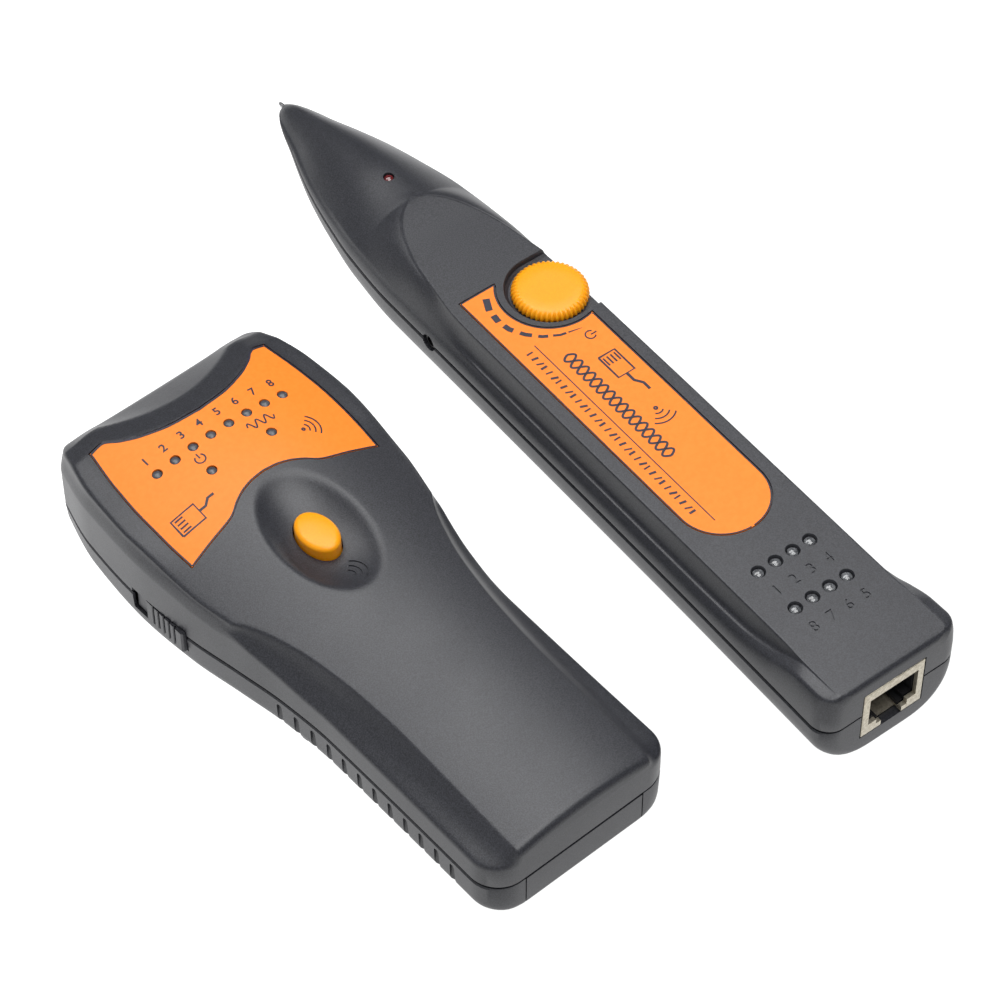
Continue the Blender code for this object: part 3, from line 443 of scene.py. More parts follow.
TX_TOP_END, TX_BOTTOM_END = 24.2, -116.5
TX_PARTING = 9.5
TX_TOP_CORNER, TX_BOTTOM_CORNER = 4.4, 7.0
TX_EDGE = 2.0
TX_CROWN_RADIUS = 80.0
TX_END_HEIGHT = 23.2
TX_HALF_WIDTH = curve(
    (-116.5, 24.3), (-91, 24.2), (-66, 24.3), (-52, 25.4), (-39, 27.6), (-25, 30.1), (-8, 31.4), (7, 30.6),
    (24.2, 26.6)
)
TX_MIDDLE = curve(
    (-116.5, 21.4), (-80, 24.0), (-51, 26.3), (-32, 28.6), (-18, 30.4), (-8, 31.3), (0, 31.5), (24.2, 31.3)
)
TX_PLATEAU = curve(
    (-116.5, 17.4), (-83, 17.4), (-69, 18.1), (-55, 20.0), (-45, 22.8), (-40, 25.0), (-37.8, 26.4),
    (-36.4, 27.7), (-30, 28.5), (0, 30.4), (24.2, 25.8)
)
TX_SHOULDER = curve(
    (-116.5, 16.4), (-60, 17.0), (-50, 18.3), (-43, 19.8), (-38, 21.4), (-26, 23.1), (0, 24.5), (24.2, 22.6)
)
TX_SHOULDER_ROUND = curve((-116.5, 0.5), (-42, 0.5), (-32, 1.3), (24.2, 1.3))
TX_BELLY = curve((-116.5, 0.0), (-22, 0.0), (0, 0.9), (24.2, 2.6))
TX_CAVITY = curve(
    (-114.6, 19.5), (-60, 21.6), (-50, 22.0), (-42, 22.6), (-20, 22.8), (-16, 26.0), (-8, 28.6), (0, 29.0),
    (8, 27.8), (22, 19.4)
)
# Rounding of the plateau's edge: crisp along the handle, soft beside the label.
TX_RIM = curve((-116.5, 0.55), (-60, 0.55), (-39, 0.8), (-34, 1.6), (24.2, 1.6))
TX_FLOOR_EDGE = 2.4

DISH_CENTRE, DISH_HALF, DISH_DEPTH = (0.0, -33.2), (11.4, 16.6), 4.0
DISH_TILT = radians(6.5)
DISH_LEVEL = 28.6
DISH_BALL = 12.0
DISH_RIM = 0.5
BUTTON_HALF = (4.15, 6.0)
BUTTON_AT = (0.0, -32.3)
BUTTON_TOP = 28.1

LAMP_PITCH = 4.79
TX_LAMPS = [((i - 3.5) * LAMP_PITCH, 0.0) for i in range(8)]
POWER_LAMP, SCAN_LAMP = (-8.0, -7.4), (8.0, -7.4)
TX_ALL_LAMPS = (*TX_LAMPS, POWER_LAMP, SCAN_LAMP)
TX_SCREWS = [(-24.0, 12.0), (24.0, 12.0), (-20.2, -56.0), (20.2, -56.0)]
DOOR_HALF, DOOR_FRONT = 15.5, -62.0
KNOB_Y = (-24.8, -12.4)
KNOB_LOW, KNOB_HIGH = 5.0, 11.0
KNOB_TRAVEL = 4.0
TONGUE_X, TONGUE_THICK = -30.5, 0.5
GRIPS = spread(-50.0, -103.5, 12)
TX_JACKS_Z = 3.6
TX_JACKS = ((-9.5, 16.0, 11.8, "tx_line_socket", 8), (10.0, 13.2, 9.8, "tx_phone_socket", 6))
SOCKET_DEPTH, SOCKET_BODY_H = 16.0, 12.6


TX_LABEL_SIDE = curve((-22, 24.9), (-14, 25.4), (-6, 25.5), (4, 24.9), (14.8, 23.4))
TX_LABEL_LOWER = curve(
    (0, -14.5), (3, -14.8), (6, -15.6), (9, -17.1), (11, -18.5), (12.5, -19.2), (18, -20.4), (24.8, -21.9)
)
TX_LABEL_UPPER = curve((0, 7.2), (6, 7.8), (13, 10.1), (17, 12.4), (20.8, 15.0), (23.4, 14.8))
TX_LABEL_ENDS = (24.8, 23.4)
TX_BRIM = curve((-116.5, 0), (-24, 0), (-12, 0.16), (24.2, 0.16))
TX_STRIP_FALL = 0.28


def tx_width(y):
    """Half width, drawn in at the rounded ends."""
    drawn_in = rounding(TX_TOP_END - y, TX_TOP_CORNER) + rounding(y - TX_BOTTOM_END, TX_BOTTOM_CORNER)
    return TX_HALF_WIDTH(y) - drawn_in


def scoop_line(x):
    """Where along y the scoop towards the top end starts."""
    return min(13.5 + 7.5 * (x / 19.0) ** 2, 19.8)


def tx_top(x, y):
    """Height of the upper surface without the finger dish."""
    start = scoop_line(x)
    height = TX_MIDDLE(min(y, start)) - x * x / (2 * TX_CROWN_RADIUS)
    height += TX_BRIM(y) * max(abs(x) - 25.5, 0.0)
    height -= TX_STRIP_FALL * max(min(y, start) - TX_LABEL_UPPER(abs(x)) - 0.5, 0.0)
    if y > start:
        height += (TX_END_HEIGHT - height) * (y - start) / (TX_TOP_END - start)
    return height - rounding(TX_TOP_END - y, TX_EDGE) - rounding(y - TX_BOTTOM_END, TX_EDGE)


DISH_REACH = sqrt(1 - ((DISH_BALL - DISH_DEPTH) / DISH_BALL) ** 2)
DISH_AXES = (DISH_HALF[0] / DISH_REACH, DISH_HALF[1] / DISH_REACH, DISH_BALL)


def dish_height(x, y):
    """Lower side of the tilted ellipsoid that hollows the dish, or None outside it."""
    c, s = cos(DISH_TILT), sin(DISH_TILT)
    lift = DISH_BALL - DISH_DEPTH
    px = x - DISH_CENTRE[0]
    py = y - DISH_CENTRE[1] + s * lift
    pz = -(DISH_LEVEL + c * lift)
    a, b, h = DISH_AXES
    start = (px / a, (c * py + s * pz) / b, (-s * py + c * pz) / h)
    way = (0.0, s / b, c / h)
    aa = sum(w * w for w in way)
    bb = sum(p * w for p, w in zip(start, way))
    cc = sum(p * p for p in start) - 1
    inside = bb * bb - aa * cc
    if inside <= 0:
        return None
    return (-bb - sqrt(inside)) / aa


def tx_surface(x, y):
    """The upper surface with the dish, whose rim is rounded over."""
    top = tx_top(x, y)
    dish = dish_height(x, y)
    if dish is None:
        return top
    blend = max(DISH_RIM - abs(top - dish), 0.0) / DISH_RIM
    return min(top, dish) - blend * blend * DISH_RIM / 4


def tx_front_half(y):
    """Right half of the front cover's section: plateau, hollow facet, rounded shoulder, wall."""
    w = tx_width(y)
    p = min(TX_PLATEAU(y), w - 1.1)
    edge = tx_top(p, y)
    shoulder = min(TX_SHOULDER(y), edge - 1.2)
    r = TX_SHOULDER_ROUND(y)
    s = w - min(r, (w - p) * 0.6)
    rim = TX_RIM(y)
    foot = TX_PARTING + HALF_GAP
    start = p - 1.3 * rim
    top = [(x, tx_surface(x, y)) for x in spread(0.0, start, 30)]
    middle = (p + 0.43 * (s - p), shoulder + 0.4 * (edge - shoulder))
    bend = [(s, shoulder), (w - 0.26 * r, shoulder - 0.9 * r), (w, shoulder - 2 * r), (w, foot + LIP_RISE)]
    side = rounded_line([top[-1], (p, edge), middle, *bend], (rim, 2.0, 0.8, 0.4, 0.6), 4)
    return [*top, *side[1:], (w - LIP, foot)]


def tx_cavity_half(y):
    """Right half of the room inside the front cover."""
    w = tx_width(y) - WALL
    p = min(TX_PLATEAU(y), w - 1.0) - 1.2
    roof = TX_CAVITY(y)
    shoulder = min(TX_SHOULDER(y) - 3.0, roof - 3.0)
    points = [(x, roof - x * x / (2 * TX_CROWN_RADIUS)) for x in spread(0.0, p, 5)]
    return [*points, (w, shoulder), (w, TX_PARTING - 1)]


def tx_back_half(y):
    """Right half of the back cover's section."""
    w, z = tx_width(y), TX_BELLY(y) + rounding(y - TX_BOTTOM_END, 1.2)
    e = TX_FLOOR_EDGE
    foot = TX_PARTING - HALF_GAP
    corners = [(0.0, z), (w - e - 0.3, z), (w - 0.9, z + 0.35 * e), (w - 0.3, z + e), (w, foot - LIP_RISE)]
    return [*rounded_line(corners, (1.4, 0.8, 1.0), 4), (w - LIP, foot)]


def tx_back_cavity_half(y):
    w, floor = tx_width(y) - WALL, TX_BELLY(y) + 2.0
    return [(0.0, floor), (w - 1.0, floor), (w - 0.4, floor + 1.0), (w, TX_PARTING + 1)]


def tx_stations(count):
    """Where along y the transmitter's sections stand."""
    low_end = end_stations(TX_BOTTOM_END, TX_BOTTOM_CORNER, 1, 12)
    high_end = end_stations(TX_TOP_END, TX_TOP_CORNER, -1, 10)
    return sorted(low_end + spread(-109.0, 18.8, count) + high_end)


def tx_label_grid(grow, across=61, rows=24):
    """Rows of points over the transmitter's label, grown on all sides."""
    low_end, high_end = TX_LABEL_ENDS
    grid = []
    for t in spread(-1.0, 1.0, across):
        start = TX_LABEL_LOWER(abs(t) * low_end) - grow
        end = TX_LABEL_UPPER(abs(t) * high_end) + grow
        grid.append([(t * (TX_LABEL_SIDE(y) + grow), y) for y in spread(start, end, rows)])
    return grid


# ---------------- receiver: shape

RX_NOSE = 214.0
RX_PARTING = 13.0
RX_CORNER = 4.6
RX_EDGE = 1.7
RX_HALF_WIDTH = curve(
    (0, 18.6), (23, 18.2), (48, 17.8), (75, 17.6), (120, 17.4), (150, 17.3), (166, 16.1), (177, 14.2),
    (188, 11.6), (196, 9.0), (203, 6.4), (208.5, 4.5), (212, 2.9), (213.4, 1.7), (214, 0.7)
)
RX_MIDDLE = curve(
    (0, 24.0), (150, 24.1), (163, 24.3), (167, 23.9), (176, 23.6), (186, 22.3), (196, 20.2), (205, 17.6),
    (211, 15.6), (214, 13.9)
)
RX_PLATEAU = curve(
    (0, 14.6), (11.5, 14.6), (20, 14.4), (118, 14.3), (130, 14.0), (139, 12.7), (147, 11.2), (155, 8.5),
    (159, 6.4), (161.5, 4.3), (163.2, 2.2), (164.4, 0.6), (214, 0.3)
)
RX_RIDGE_X = curve(
    (0, 14.9), (11.5, 14.9), (15, 15.4), (20, 16.0), (30, 16.4), (120, 16.1), (150, 16.0), (214, 16.0)
)
RX_RIDGE_Z = curve(
    (0, 23.8), (11.5, 23.5), (15, 22.4), (20, 20.5), (30, 18.6), (45, 18.1), (140, 18.0), (165, 17.4),
    (180, 16.4), (195, 15.3), (207, 14.3), (214, 13.6)
)
RX_SHOULDER_Z = curve(
    (0, 23.2), (9, 23.0), (15, 21.4), (20, 19.5), (30, 17.8), (45, 17.2), (155, 16.9), (180, 15.8),
    (207, 14.0), (214, 13.5)
)
# How sharply the groove falls from the plateau, how far it turns into the nose's arch, and the tongue's step.
RX_SCOOP = curve((0, 1.0), (11.5, 1.0), (17, 3.0), (214, 3.0))
RX_ARCH = curve((0, 0), (116, 0), (148, 1), (214, 1))
RX_STEP = curve((0, 0), (116, 0), (148, 0.3), (162, 0.3), (167, 0), (214, 0))
RX_BELLY = curve(
    (0, 0.0), (150, 0.0), (165, 1.0), (180, 3.2), (195, 6.2), (205, 8.8), (212, 11.2), (214, 12.4)
)
RX_ROOF = curve((0, 1.9), (109, 1.9), (112, 3.6), (135, 3.6), (138, 1.9), (214, 1.9))
RX_FLAT = 6.2

WHEEL_AT, WHEEL_R, WHEEL_TOP, WHEEL_KNURLS = (7.5, 123.7), 8.75, 24.9, 46
WHEEL_POCKET_AT, WHEEL_POCKET_R, WHEEL_FLOOR = (7.7, 124.1), 9.9, 22.2
RX_LAMPS = [(x, y) for y in (35.5, 23.7) for x in (-7.0, -2.35, 2.35, 7.0)]
NOSE_LAMP = (0.0, 173.0)
RX_SCREWS = [(-9.0, 45.0), (9.0, 45.0), (-7.5, 165.0), (7.5, 165.0)]
SOCKET_W, SOCKET_H = 16.4, 13.8
PLUG_W, PLUG_H = 12.6, 8.0
RX_SOCKET_Z = 5.5
RX_DOOR = (-11.0, 50.0, 11.0, 108.0)
EAR_SOCKET_Y = 135.4


def rx_width(y):
    """Half width, drawn in at the rounded socket end."""
    return RX_HALF_WIDTH(y) - rounding(y, RX_CORNER)


def rx_top(x, y):
    """Height of the slightly crowned plateau."""
    return RX_MIDDLE(y) - 0.0006 * x * x - rounding(y, RX_EDGE)


def rx_fall(y, t, drop):
    """How far the section has fallen at t of the way from the plateau's edge to the ridge."""
    arch = RX_ARCH(y)
    step = RX_STEP(y) / max(drop, 0.5) * min(t / 0.1, 1.0)
    fall = (1 - arch) * (1 - (1 - t) ** RX_SCOOP(y)) + arch * t**1.9
    return step + (1 - step) * fall


def rx_front_half(y):
    """Right half of the front cover's section: plateau, scooped groove, ridge, wall."""
    w = rx_width(y)
    p = min(RX_PLATEAU(y), w - 3.2 * min(1.0, w / 12))
    r = min(RX_RIDGE_X(y), w - 1.3 * min(1.0, w / 8))
    s = w - 0.9 * min(1.0, w / 8)
    edge = rx_top(p, y)
    ridge = min(RX_RIDGE_Z(y), edge) - (rounding(y, RX_EDGE) if y < RX_EDGE else 0.0)
    shoulder = min(RX_SHOULDER_Z(y) - rounding(y, RX_EDGE), ridge - 0.05)
    foot = RX_PARTING + HALF_GAP
    lip = min(1.0, w / 3)
    soft = min(0.5, 0.3 * p)

    def scoop(t):
        return (p + (r - p) * t, edge + (ridge - edge) * rx_fall(y, t, edge - ridge))

    top = [(x, rx_top(x, y)) for x in spread(0.0, p - soft, 14)]
    rim = rounded_line([top[-1], (p, edge), scoop(0.1)], (soft,), 4)
    groove = [scoop(t) for t in spread(0.12, 0.84, 14)]
    flank = [(r, ridge), (s, shoulder), (w - 0.3, foot + (shoulder - foot) * 0.72)]
    crest = rounded_line([groove[-1], *flank], (0.9, 0.7), 4)
    rise = min(LIP_RISE * lip, 0.28 * (shoulder - foot))
    wall = [(w, foot + (shoulder - foot) * 0.35), (w, foot + rise), (w - LIP * lip, foot)]
    return [*top, *rim[1:], *groove, *crest[1:], *wall]


def rx_cavity_half(y):
    w = rx_width(y) - WALL
    roof = RX_MIDDLE(y) - RX_ROOF(y)
    inner = min(RX_PLATEAU(y) - 1.1, w - 1.5) if y < 142 else w * 0.38
    side = min(RX_RIDGE_Z(y) - 2.2, roof - 1.2)
    shelf = [(inner + 0.3, side), (w, side - 0.6), (w, RX_PARTING - 1)]
    return [(0.0, roof), (inner * 0.9, roof), (inner, roof - 0.8), *shelf]


def rx_belly_half(y):
    """Right half of the back cover's bowl-shaped section."""
    w = rx_width(y)
    low = RX_BELLY(y) + rounding(y, 1.4)
    flat = min(RX_FLAT, 0.3 * w)
    top = RX_PARTING - HALF_GAP
    lip = min(1.0, w / 3)
    side_top = top - LIP_RISE * lip
    points = [(0.0, low)]
    for t in spread(0.0, 1.0, 16):
        a = 0.5 * pi * t
        x = flat + (w - flat) * sin(a) ** 0.85
        points.append((x, side_top - (side_top - low) * cos(a) ** 0.8))
    return [*points, (w - LIP * lip, top)]


def rx_belly_cavity_half(y):
    w = rx_width(y) - WALL
    low = RX_BELLY(y) + 2.0
    rise = (RX_PARTING - low) / 11
    side = [(w, low + 6.0 * rise), (w, RX_PARTING + 1)]
    return [(0.0, low), (0.62 * w, low), (0.83 * w, low + 1.2 * rise), *side]


def rx_stations():
    """Where along y the receiver's sections stand, closest where the shape changes fastest."""
    nose = spread(155.8, 167.0, 29) + spread(168.0, 208.0, 46)
    tip = [209.2, 210.3, 211.3, 212.1, 212.8, 213.3, 213.7, RX_NOSE]
    handle = spread(5.3, 48.0, 54) + spread(50.0, 108.0, 20) + spread(110.0, 155.0, 46)
    return sorted(end_stations(0.0, RX_CORNER, 1, 10) + handle + nose + tip)


RX_LABEL_HALF, RX_LABEL_ROUND, RX_LABEL_TOP = 10.8, 56.0, 132.3
LABEL_BITE, LABEL_BITE_R = (7.4, 124.3), 11.75


def rx_label_grid(grow, rows=110, across=9):
    """Rows of points over the receiver's label: a round lower end, and a bite around the wheel."""
    half = RX_LABEL_HALF + grow
    turns = [radians(a) for a in spread(2, 90, 24)]
    round_end = [(half * sin(a), RX_LABEL_ROUND - (half - 0.2) * cos(a)) for a in turns]
    left = [(-x, y) for x, y in round_end] + [(-half, RX_LABEL_TOP + grow)]
    bite = arc(LABEL_BITE, LABEL_BITE_R - grow, 286, 138, 40)
    right = [*round_end, (half, bite[0][1]), *bite, (bite[-1][0], RX_LABEL_TOP + grow)]
    sides = zip(along(left, rows), along(right, rows))
    return [list(zip(spread(lx, rx, across), spread(ly, ry, across))) for (lx, ly), (rx, ry) in sides]


# ---------------- shared small pieces


def lamp(name, device, at, top, radius, look):
    """A lamp lens: a domed light guide down to the board."""
    rise = 0.55 * radius
    dome = [(radius * cos(a), top - rise + rise * sin(a)) for a in spread(0.0, 1.45, 8)]
    piece(name + "_lens", turned(at, [(radius, top - 5.0), *dome], 28), device, look, (name,))


def screw(name, device, at, head_z, length):
    """A self-tapping screw put in from below, with a cross slot in its head."""
    head, core, root = 2.6, 1.3, 1.3 * 0.82
    profile = [(head * 0.7, head_z), (head * 0.93, head_z + 0.25), (head, head_z + 0.8), (head, head_z + 1.7)]
    profile.append((core, head_z + 1.75))
    for i in range(int(length - 3)):
        profile += [(root, head_z + 2.0 + i), (core, head_z + 2.45 + i), (root, head_z + 2.9 + i)]
    profile.append((0.3, head_z + length))
    x, y = at
    made = piece(name + "_turned", turned(at, profile, 36), device, STEEL, (name,))
    for a, b in ((1.5, 0.32), (0.32, 1.5)):
        cut(made, device, box((x - a, y - b, head_z - 1), (x + a, y + b, head_z + 0.9)))


def mouth_parts(x, z, width, height, low, high):
    """The stepped plug mouth of a modular socket, as cutters along y."""
    return [
        box((x - width / 2, low, z), (x + width / 2, high, z + height)),
        box((x - 4.2, low, z - 1.4), (x + 4.2, high, z + 0.4)),
        box((x - 2.8, low, z - 3.1), (x + 2.8, high, z - 1.0)),
    ]


def contacts(name, device, x, face, way, top, count):
    """Sprung gold wires that slope down from the roof of a socket's mouth towards its back."""
    wires = []
    for i in range(count):
        cx = x + (i - (count - 1) / 2) * 1.02
        line = [(1.5, top - 0.35), (3.0, top - 0.5), (9.5, top - 2.9), (10.6, top - 3.2), (11.4, top - 2.9)]
        rings = []
        for deep, z in line:
            y = face - way * deep
            corners = ((-0.22, -0.12), (0.22, -0.12), (0.22, 0.12), (-0.22, 0.12))
            rings.append([(cx + dx, y, z + dz) for dx, dz in corners])
        wires.append(loft(rings))
    piece(name, merged(wires), device, GOLD)


# ---------------- transmitter: pieces


def tx_openings():
    """Room for the two sockets in the top end."""
    top = TX_JACKS_Z + SOCKET_BODY_H + GAP
    rooms = []
    for x, width, *_ in TX_JACKS:
        half = width / 2 + GAP
        rooms.append(box((x - half, 7.0, TX_JACKS_Z - GAP), (x + half, TX_TOP_END + 1, top)))
    return rooms


KNOB_WALL = -tx_width(-18)


def knob_window():
    """The opening in the left wall in which the knob slides."""
    low = (-40, KNOB_Y[0] - GAP, KNOB_LOW - 0.4)
    return box(low, (KNOB_WALL + 3.2, KNOB_Y[1] + KNOB_TRAVEL + GAP, KNOB_HIGH + 0.4))


def tongue_pocket():
    """Thins the wall beyond the window, so that the knob's tongue can slide behind it."""
    end = KNOB_Y[1] + KNOB_TRAVEL
    low = (TONGUE_X - 0.2, end - 1.0, KNOB_LOW - 0.1)
    return box(low, (TONGUE_X + 3.1, end + KNOB_TRAVEL + 0.2, KNOB_HIGH + 0.1))


def make_tx_front():
    bm = section_loft(tx_stations(170), tx_front_half)
    front = piece("tx_front_shell", bm, TX, PLASTIC, ("tx_front_cover",))
    inner = sorted([TX_BOTTOM_END + WALL, *spread(-108, 14, 12), -19.0, -47.0, TX_TOP_END - WALL])
    cut(front, TX, section_loft(inner, tx_cavity_half))
    for x, y in TX_SCREWS:
        top = min(tx_top(x, y), TX_SHOULDER(y) + 1.5) - 1.5
        cut(front, TX, rod((x, y), 2.6, TX_PARTING + GAP, top), operation="UNION")
    cut(front, TX, *[rod(at, BORE, 9.0, 15.5, 16) for at in TX_SCREWS])
    cut(front, TX, skin(tx_label_grid(GAP), tx_top, *FILM_ROOM))
    hole = oval(BUTTON_AT, (BUTTON_HALF[0] + GAP, BUTTON_HALF[1] + GAP), 64)
    cut(front, TX, prism(hole, 18, 28))
    cut(front, TX, *[rod(at, 1.4, 20.0, 34.0, 24) for at in TX_ALL_LAMPS])
    cut(front, TX, *tx_openings())
    cut(front, TX, knob_window())
    cut(front, TX, tongue_pocket())
    waves = [arc((-1.4, -44.0), r, -50, 50, 11) for r in (1.5, 2.8, 4.1)]
    cut(front, TX, *[stroke(wave, 0.46, tx_surface, -0.28, 1.0) for wave in waves])


def make_tx_back():
    shell = section_loft(tx_stations(110), tx_back_half)
    back = piece("tx_back_shell", shell, TX, PLASTIC, ("tx_back_cover",))
    inner = [TX_BOTTOM_END + WALL, -108, -80, -60, -45, -30, -15, 0, 14, TX_TOP_END - WALL]
    cut(back, TX, section_loft(inner, tx_back_cavity_half))
    for x, y in TX_SCREWS:
        floor = TX_BELLY(y)
        cut(back, TX, rod((x, y), 4.0, floor + 1.0, TX_PARTING - GAP, 28), operation="UNION")
        cut(back, TX, turned((x, y), [(3.1, floor - 2), (2.9, floor + 3.2)], 28))
        cut(back, TX, rod((x, y), BORE, 0.0, 12.0))
    cut(back, TX, *tx_openings())
    cut(back, TX, knob_window())
    cut(back, TX, tongue_pocket())
    half = DOOR_HALF + GAP
    cut(back, TX, box((-half, -PAST_END, -1), (half, DOOR_FRONT + GAP, 2.4)))
    cut(back, TX, box((-half, -PAST_END, -1), (half, TX_BOTTOM_END + WALL + 0.5, 12)))
    grips = []
    for y in GRIPS:
        for side in (-1, 1):
            x = side * (tx_width(y) - 0.5)
            grips.append(turned((x, y), [(0.82, -1.0), (0.82, 6.9), (0.7, 7.4), (0.4, 7.7)], 20))
    cut(back, TX, *grips)


def make_tx_door():
    panel = section_loft(tx_stations(110), tx_back_half)
    door = piece("tx_door_panel", panel, TX, PLASTIC, ("tx_battery_door",), "battery_door")
    room = box((-DOOR_HALF, -PAST_END, -1), (DOOR_HALF, DOOR_FRONT, TX_PARTING - 0.5))
    cut(door, TX, room, operation="INTERSECT")
    cut(door, TX, box((-30, TX_BOTTOM_END + WALL, 2.0), (30, 0, 12)))
    grooves = []
    for i in range(6):
        half, y = 7.0 - 0.4 * i, -70.4 - 1.7 * i
        grooves.append(box((-half, y, -1), (half, y + 0.7, 0.5)))
    cut(door, TX, *grooves)


def make_tx_button():
    """The oval button: rings drawn in from its outline, with a flange at the foot."""
    x, y = BUTTON_AT
    a, b = BUTTON_HALF
    lines = [(-1.2, 21.2), (-1.2, 21.7), (0.0, 21.75), (0.0, BUTTON_TOP - 1.3)]
    lines += [(1.3 * (1 - cos(t)), BUTTON_TOP - 1.3 + 1.1 * sin(t)) for t in spread(0.2, 1.4, 8)]
    lines += [(1.9, BUTTON_TOP - 0.12), (2.8, BUTTON_TOP - 0.04), (3.8, BUTTON_TOP)]
    rings = [[(px, py, z) for px, py in oval((x, y), (a - d, b - d), 64)] for d, z in lines]
    piece("tx_button_cap", loft(rings), TX, AMBER, ("tx_scan_button",), "scan_button")


def make_tx_knob():
    """The slide switch's grooved knob, and the tongue that closes the window beside it."""
    y0, y1 = KNOB_Y
    face, back = KNOB_WALL - 0.35, KNOB_WALL + 2.6
    outline = [(back, y0), (face + 0.4, y0), (face, y0 + 0.4)]
    for y in spread(y0 + 2.6, y1 - 2.6, 5):
        outline += [(face, y - 0.42), (face + 0.2, y - 0.27), (face + 0.8, y - 0.24)]
        outline += [(face + 0.8, y + 0.24), (face + 0.2, y + 0.27), (face, y + 0.42)]
    outline += [(face, y1 - 0.4), (face + 0.4, y1), (back, y1)]
    body = prism(outline, KNOB_LOW, KNOB_HIGH)
    knob = piece("tx_knob_ribbed", body, TX, PLASTIC, ("tx_slide_knob",), "slide_knob")
    high = (TONGUE_X + TONGUE_THICK, y1 + KNOB_TRAVEL - 0.4, KNOB_HIGH - 0.2)
    tongue = box((TONGUE_X, y1 - 0.5, KNOB_LOW + 0.2), high)
    cut(knob, TX, tongue, operation="UNION")


def make_tx_label():
    film = skin(tx_label_grid(0.0), tx_top, *FILM_DEPTH)
    label = piece("tx_label_film", film, TX, LABEL, ("tx_label",))
    cut(label, TX, *[rod(at, 1.2, 25.0, 34.0, 28) for at in TX_ALL_LAMPS])
    ink_and_edge_shade = []
    for i, (x, y) in enumerate(TX_LAMPS):
        ink_and_edge_shade.append(digit(str(i + 1), 2.9, (x, y + 4.1), tx_top, *INK_AND_SHADE_DEPTH, bold=0.05))

    def line(points, width=0.34):
        ink_and_edge_shade.append(stroke(points, width, tx_top, *INK_AND_SHADE_DEPTH))

    # Painted shade: dark lines along the label's four edges stand in for the shadow in the gap round it. The
    # wider line along its upper edge stands for the shade where the surface bends over into the scoop.
    rim = tx_label_grid(-0.15)
    line(rim[0], 0.3)
    line(rim[-1], 0.3)
    line([row[0] for row in rim], 0.3)
    line([row[-1] for row in tx_label_grid(-0.25)], 0.5)
    px, py = POWER_LAMP[0], POWER_LAMP[1] + 3.9
    line(arc((px, py), 1.15, 130, 410, 25))
    line([(px, py + 0.1), (px, py + 1.5)])
    sx, sy = SCAN_LAMP[0], SCAN_LAMP[1] + 3.7
    line([(sx - 3.4 + 6.8 * t, sy + 1.0 * sin(t * 6 * pi)) for t in spread(0, 1, 61)], 0.36)
    bx, by = -17.5, -13.3
    x0, x1, y0, y1 = bx - 4.5, bx + 1.5, by - 2.2, by + 2.2
    line([(x0, y0), (x0, y1), (x1, y1), (x1, y0), (x0, y0)], 0.45)
    for i in range(4):
        line([(bx - 3.9, by - 1.5 + i), (bx - 1.9, by - 1.5 + i)], 0.4)
    line([(bx + 1.6, by), (bx + 3.2, by), (bx + 4.6, by + 1.2), (bx + 6.2, by + 1.2)], 0.6)
    ax, ay = 17.2, -10.6
    for r in (1.4, 2.6, 3.8):
        line(arc((ax - 3.2, ay), r, -48, 48, 13), 0.34)
    line(arc((ax - 3.2, ay), 0.3, 0, 360, 13), 0.4)
    piece("tx_label_print_and_edge_shade", merged(ink_and_edge_shade), TX, PRINT_AND_EDGE_SHADE)


def make_tx_inside():
    for x, width, mouth, node, pins in TX_JACKS:
        face = TX_TOP_END - 0.2
        low = (x - width / 2, face - SOCKET_DEPTH, TX_JACKS_Z)
        high = (x + width / 2, face, TX_JACKS_Z + SOCKET_BODY_H)
        block = piece(node + "_block", box(low, high, 0.25), TX, BLACK, (node,))
        for part in mouth_parts(x, TX_JACKS_Z + 3.3, mouth, 6.9, face - 13.0, face + 1):
            cut(block, TX, part)
        contacts(node + "_contacts", TX, x, face, 1, TX_JACKS_Z + 10.2, pins)
    for which, at in zip((*range(1, 9), "power", "scan"), TX_ALL_LAMPS):
        lamp(f"tx_lamp_{which}", TX, at, tx_top(*at) + 0.05, 1.16, SMOKED)
    for i, (x, y) in enumerate(TX_SCREWS):
        screw(f"tx_case_screw_{i + 1}", TX, (x, y), TX_BELLY(y) + 0.9, 13.0 - TX_BELLY(y))


def battery(name, device, low):
    """A 9 V block: a jacketed can with its two snap terminals on one end."""
    w, length, h = 25.0, 47.5, 16.0
    x, y, z = low
    piece(name + "_can", box(low, (x + w, y + length, z + h), 1.4), device, JACKET, (name,))
    rim = [(4.0, -0.5), (4.0, 0.5), (3.0, 0.6), (3.0, 1.6), (3.7, 2.1), (3.4, 2.2)]
    stud = [(2.7, -0.5), (2.7, 1.6), (2.3, 2.1), (1.6, 2.2)]
    for end, side, profile in (("_socket_end", 6.35, rim), ("_stud_end", -6.35, stud)):
        rings = [(radius, y + length + rise) for radius, rise in profile]
        solid = turned_y((x + w / 2 + side, z + h / 2), rings, 24)
        piece(name + end, solid, device, STEEL)


# ---------------- receiver: pieces


def ear_rod(radius, low, high):
    """A rod across the receiver at the earphone socket."""
    return prism(oval((EAR_SOCKET_Y, RX_PARTING), (radius, radius), 32), low, high, "x")


def cut_rx_openings(cover):
    """Room in either cover for the socket, the earphone plug and the probe pin."""
    half, z = SOCKET_W / 2 + GAP, RX_SOCKET_Z
    cut(cover, RX, box((-half, -2, z - GAP), (half, SOCKET_DEPTH + 1, z + SOCKET_H + GAP)))
    pin = prism(oval((0.0, RX_PARTING), (0.9, 0.9), 20), 195, 216, "y")
    cut(cover, RX, ear_rod(2.1, -22, -12), pin)


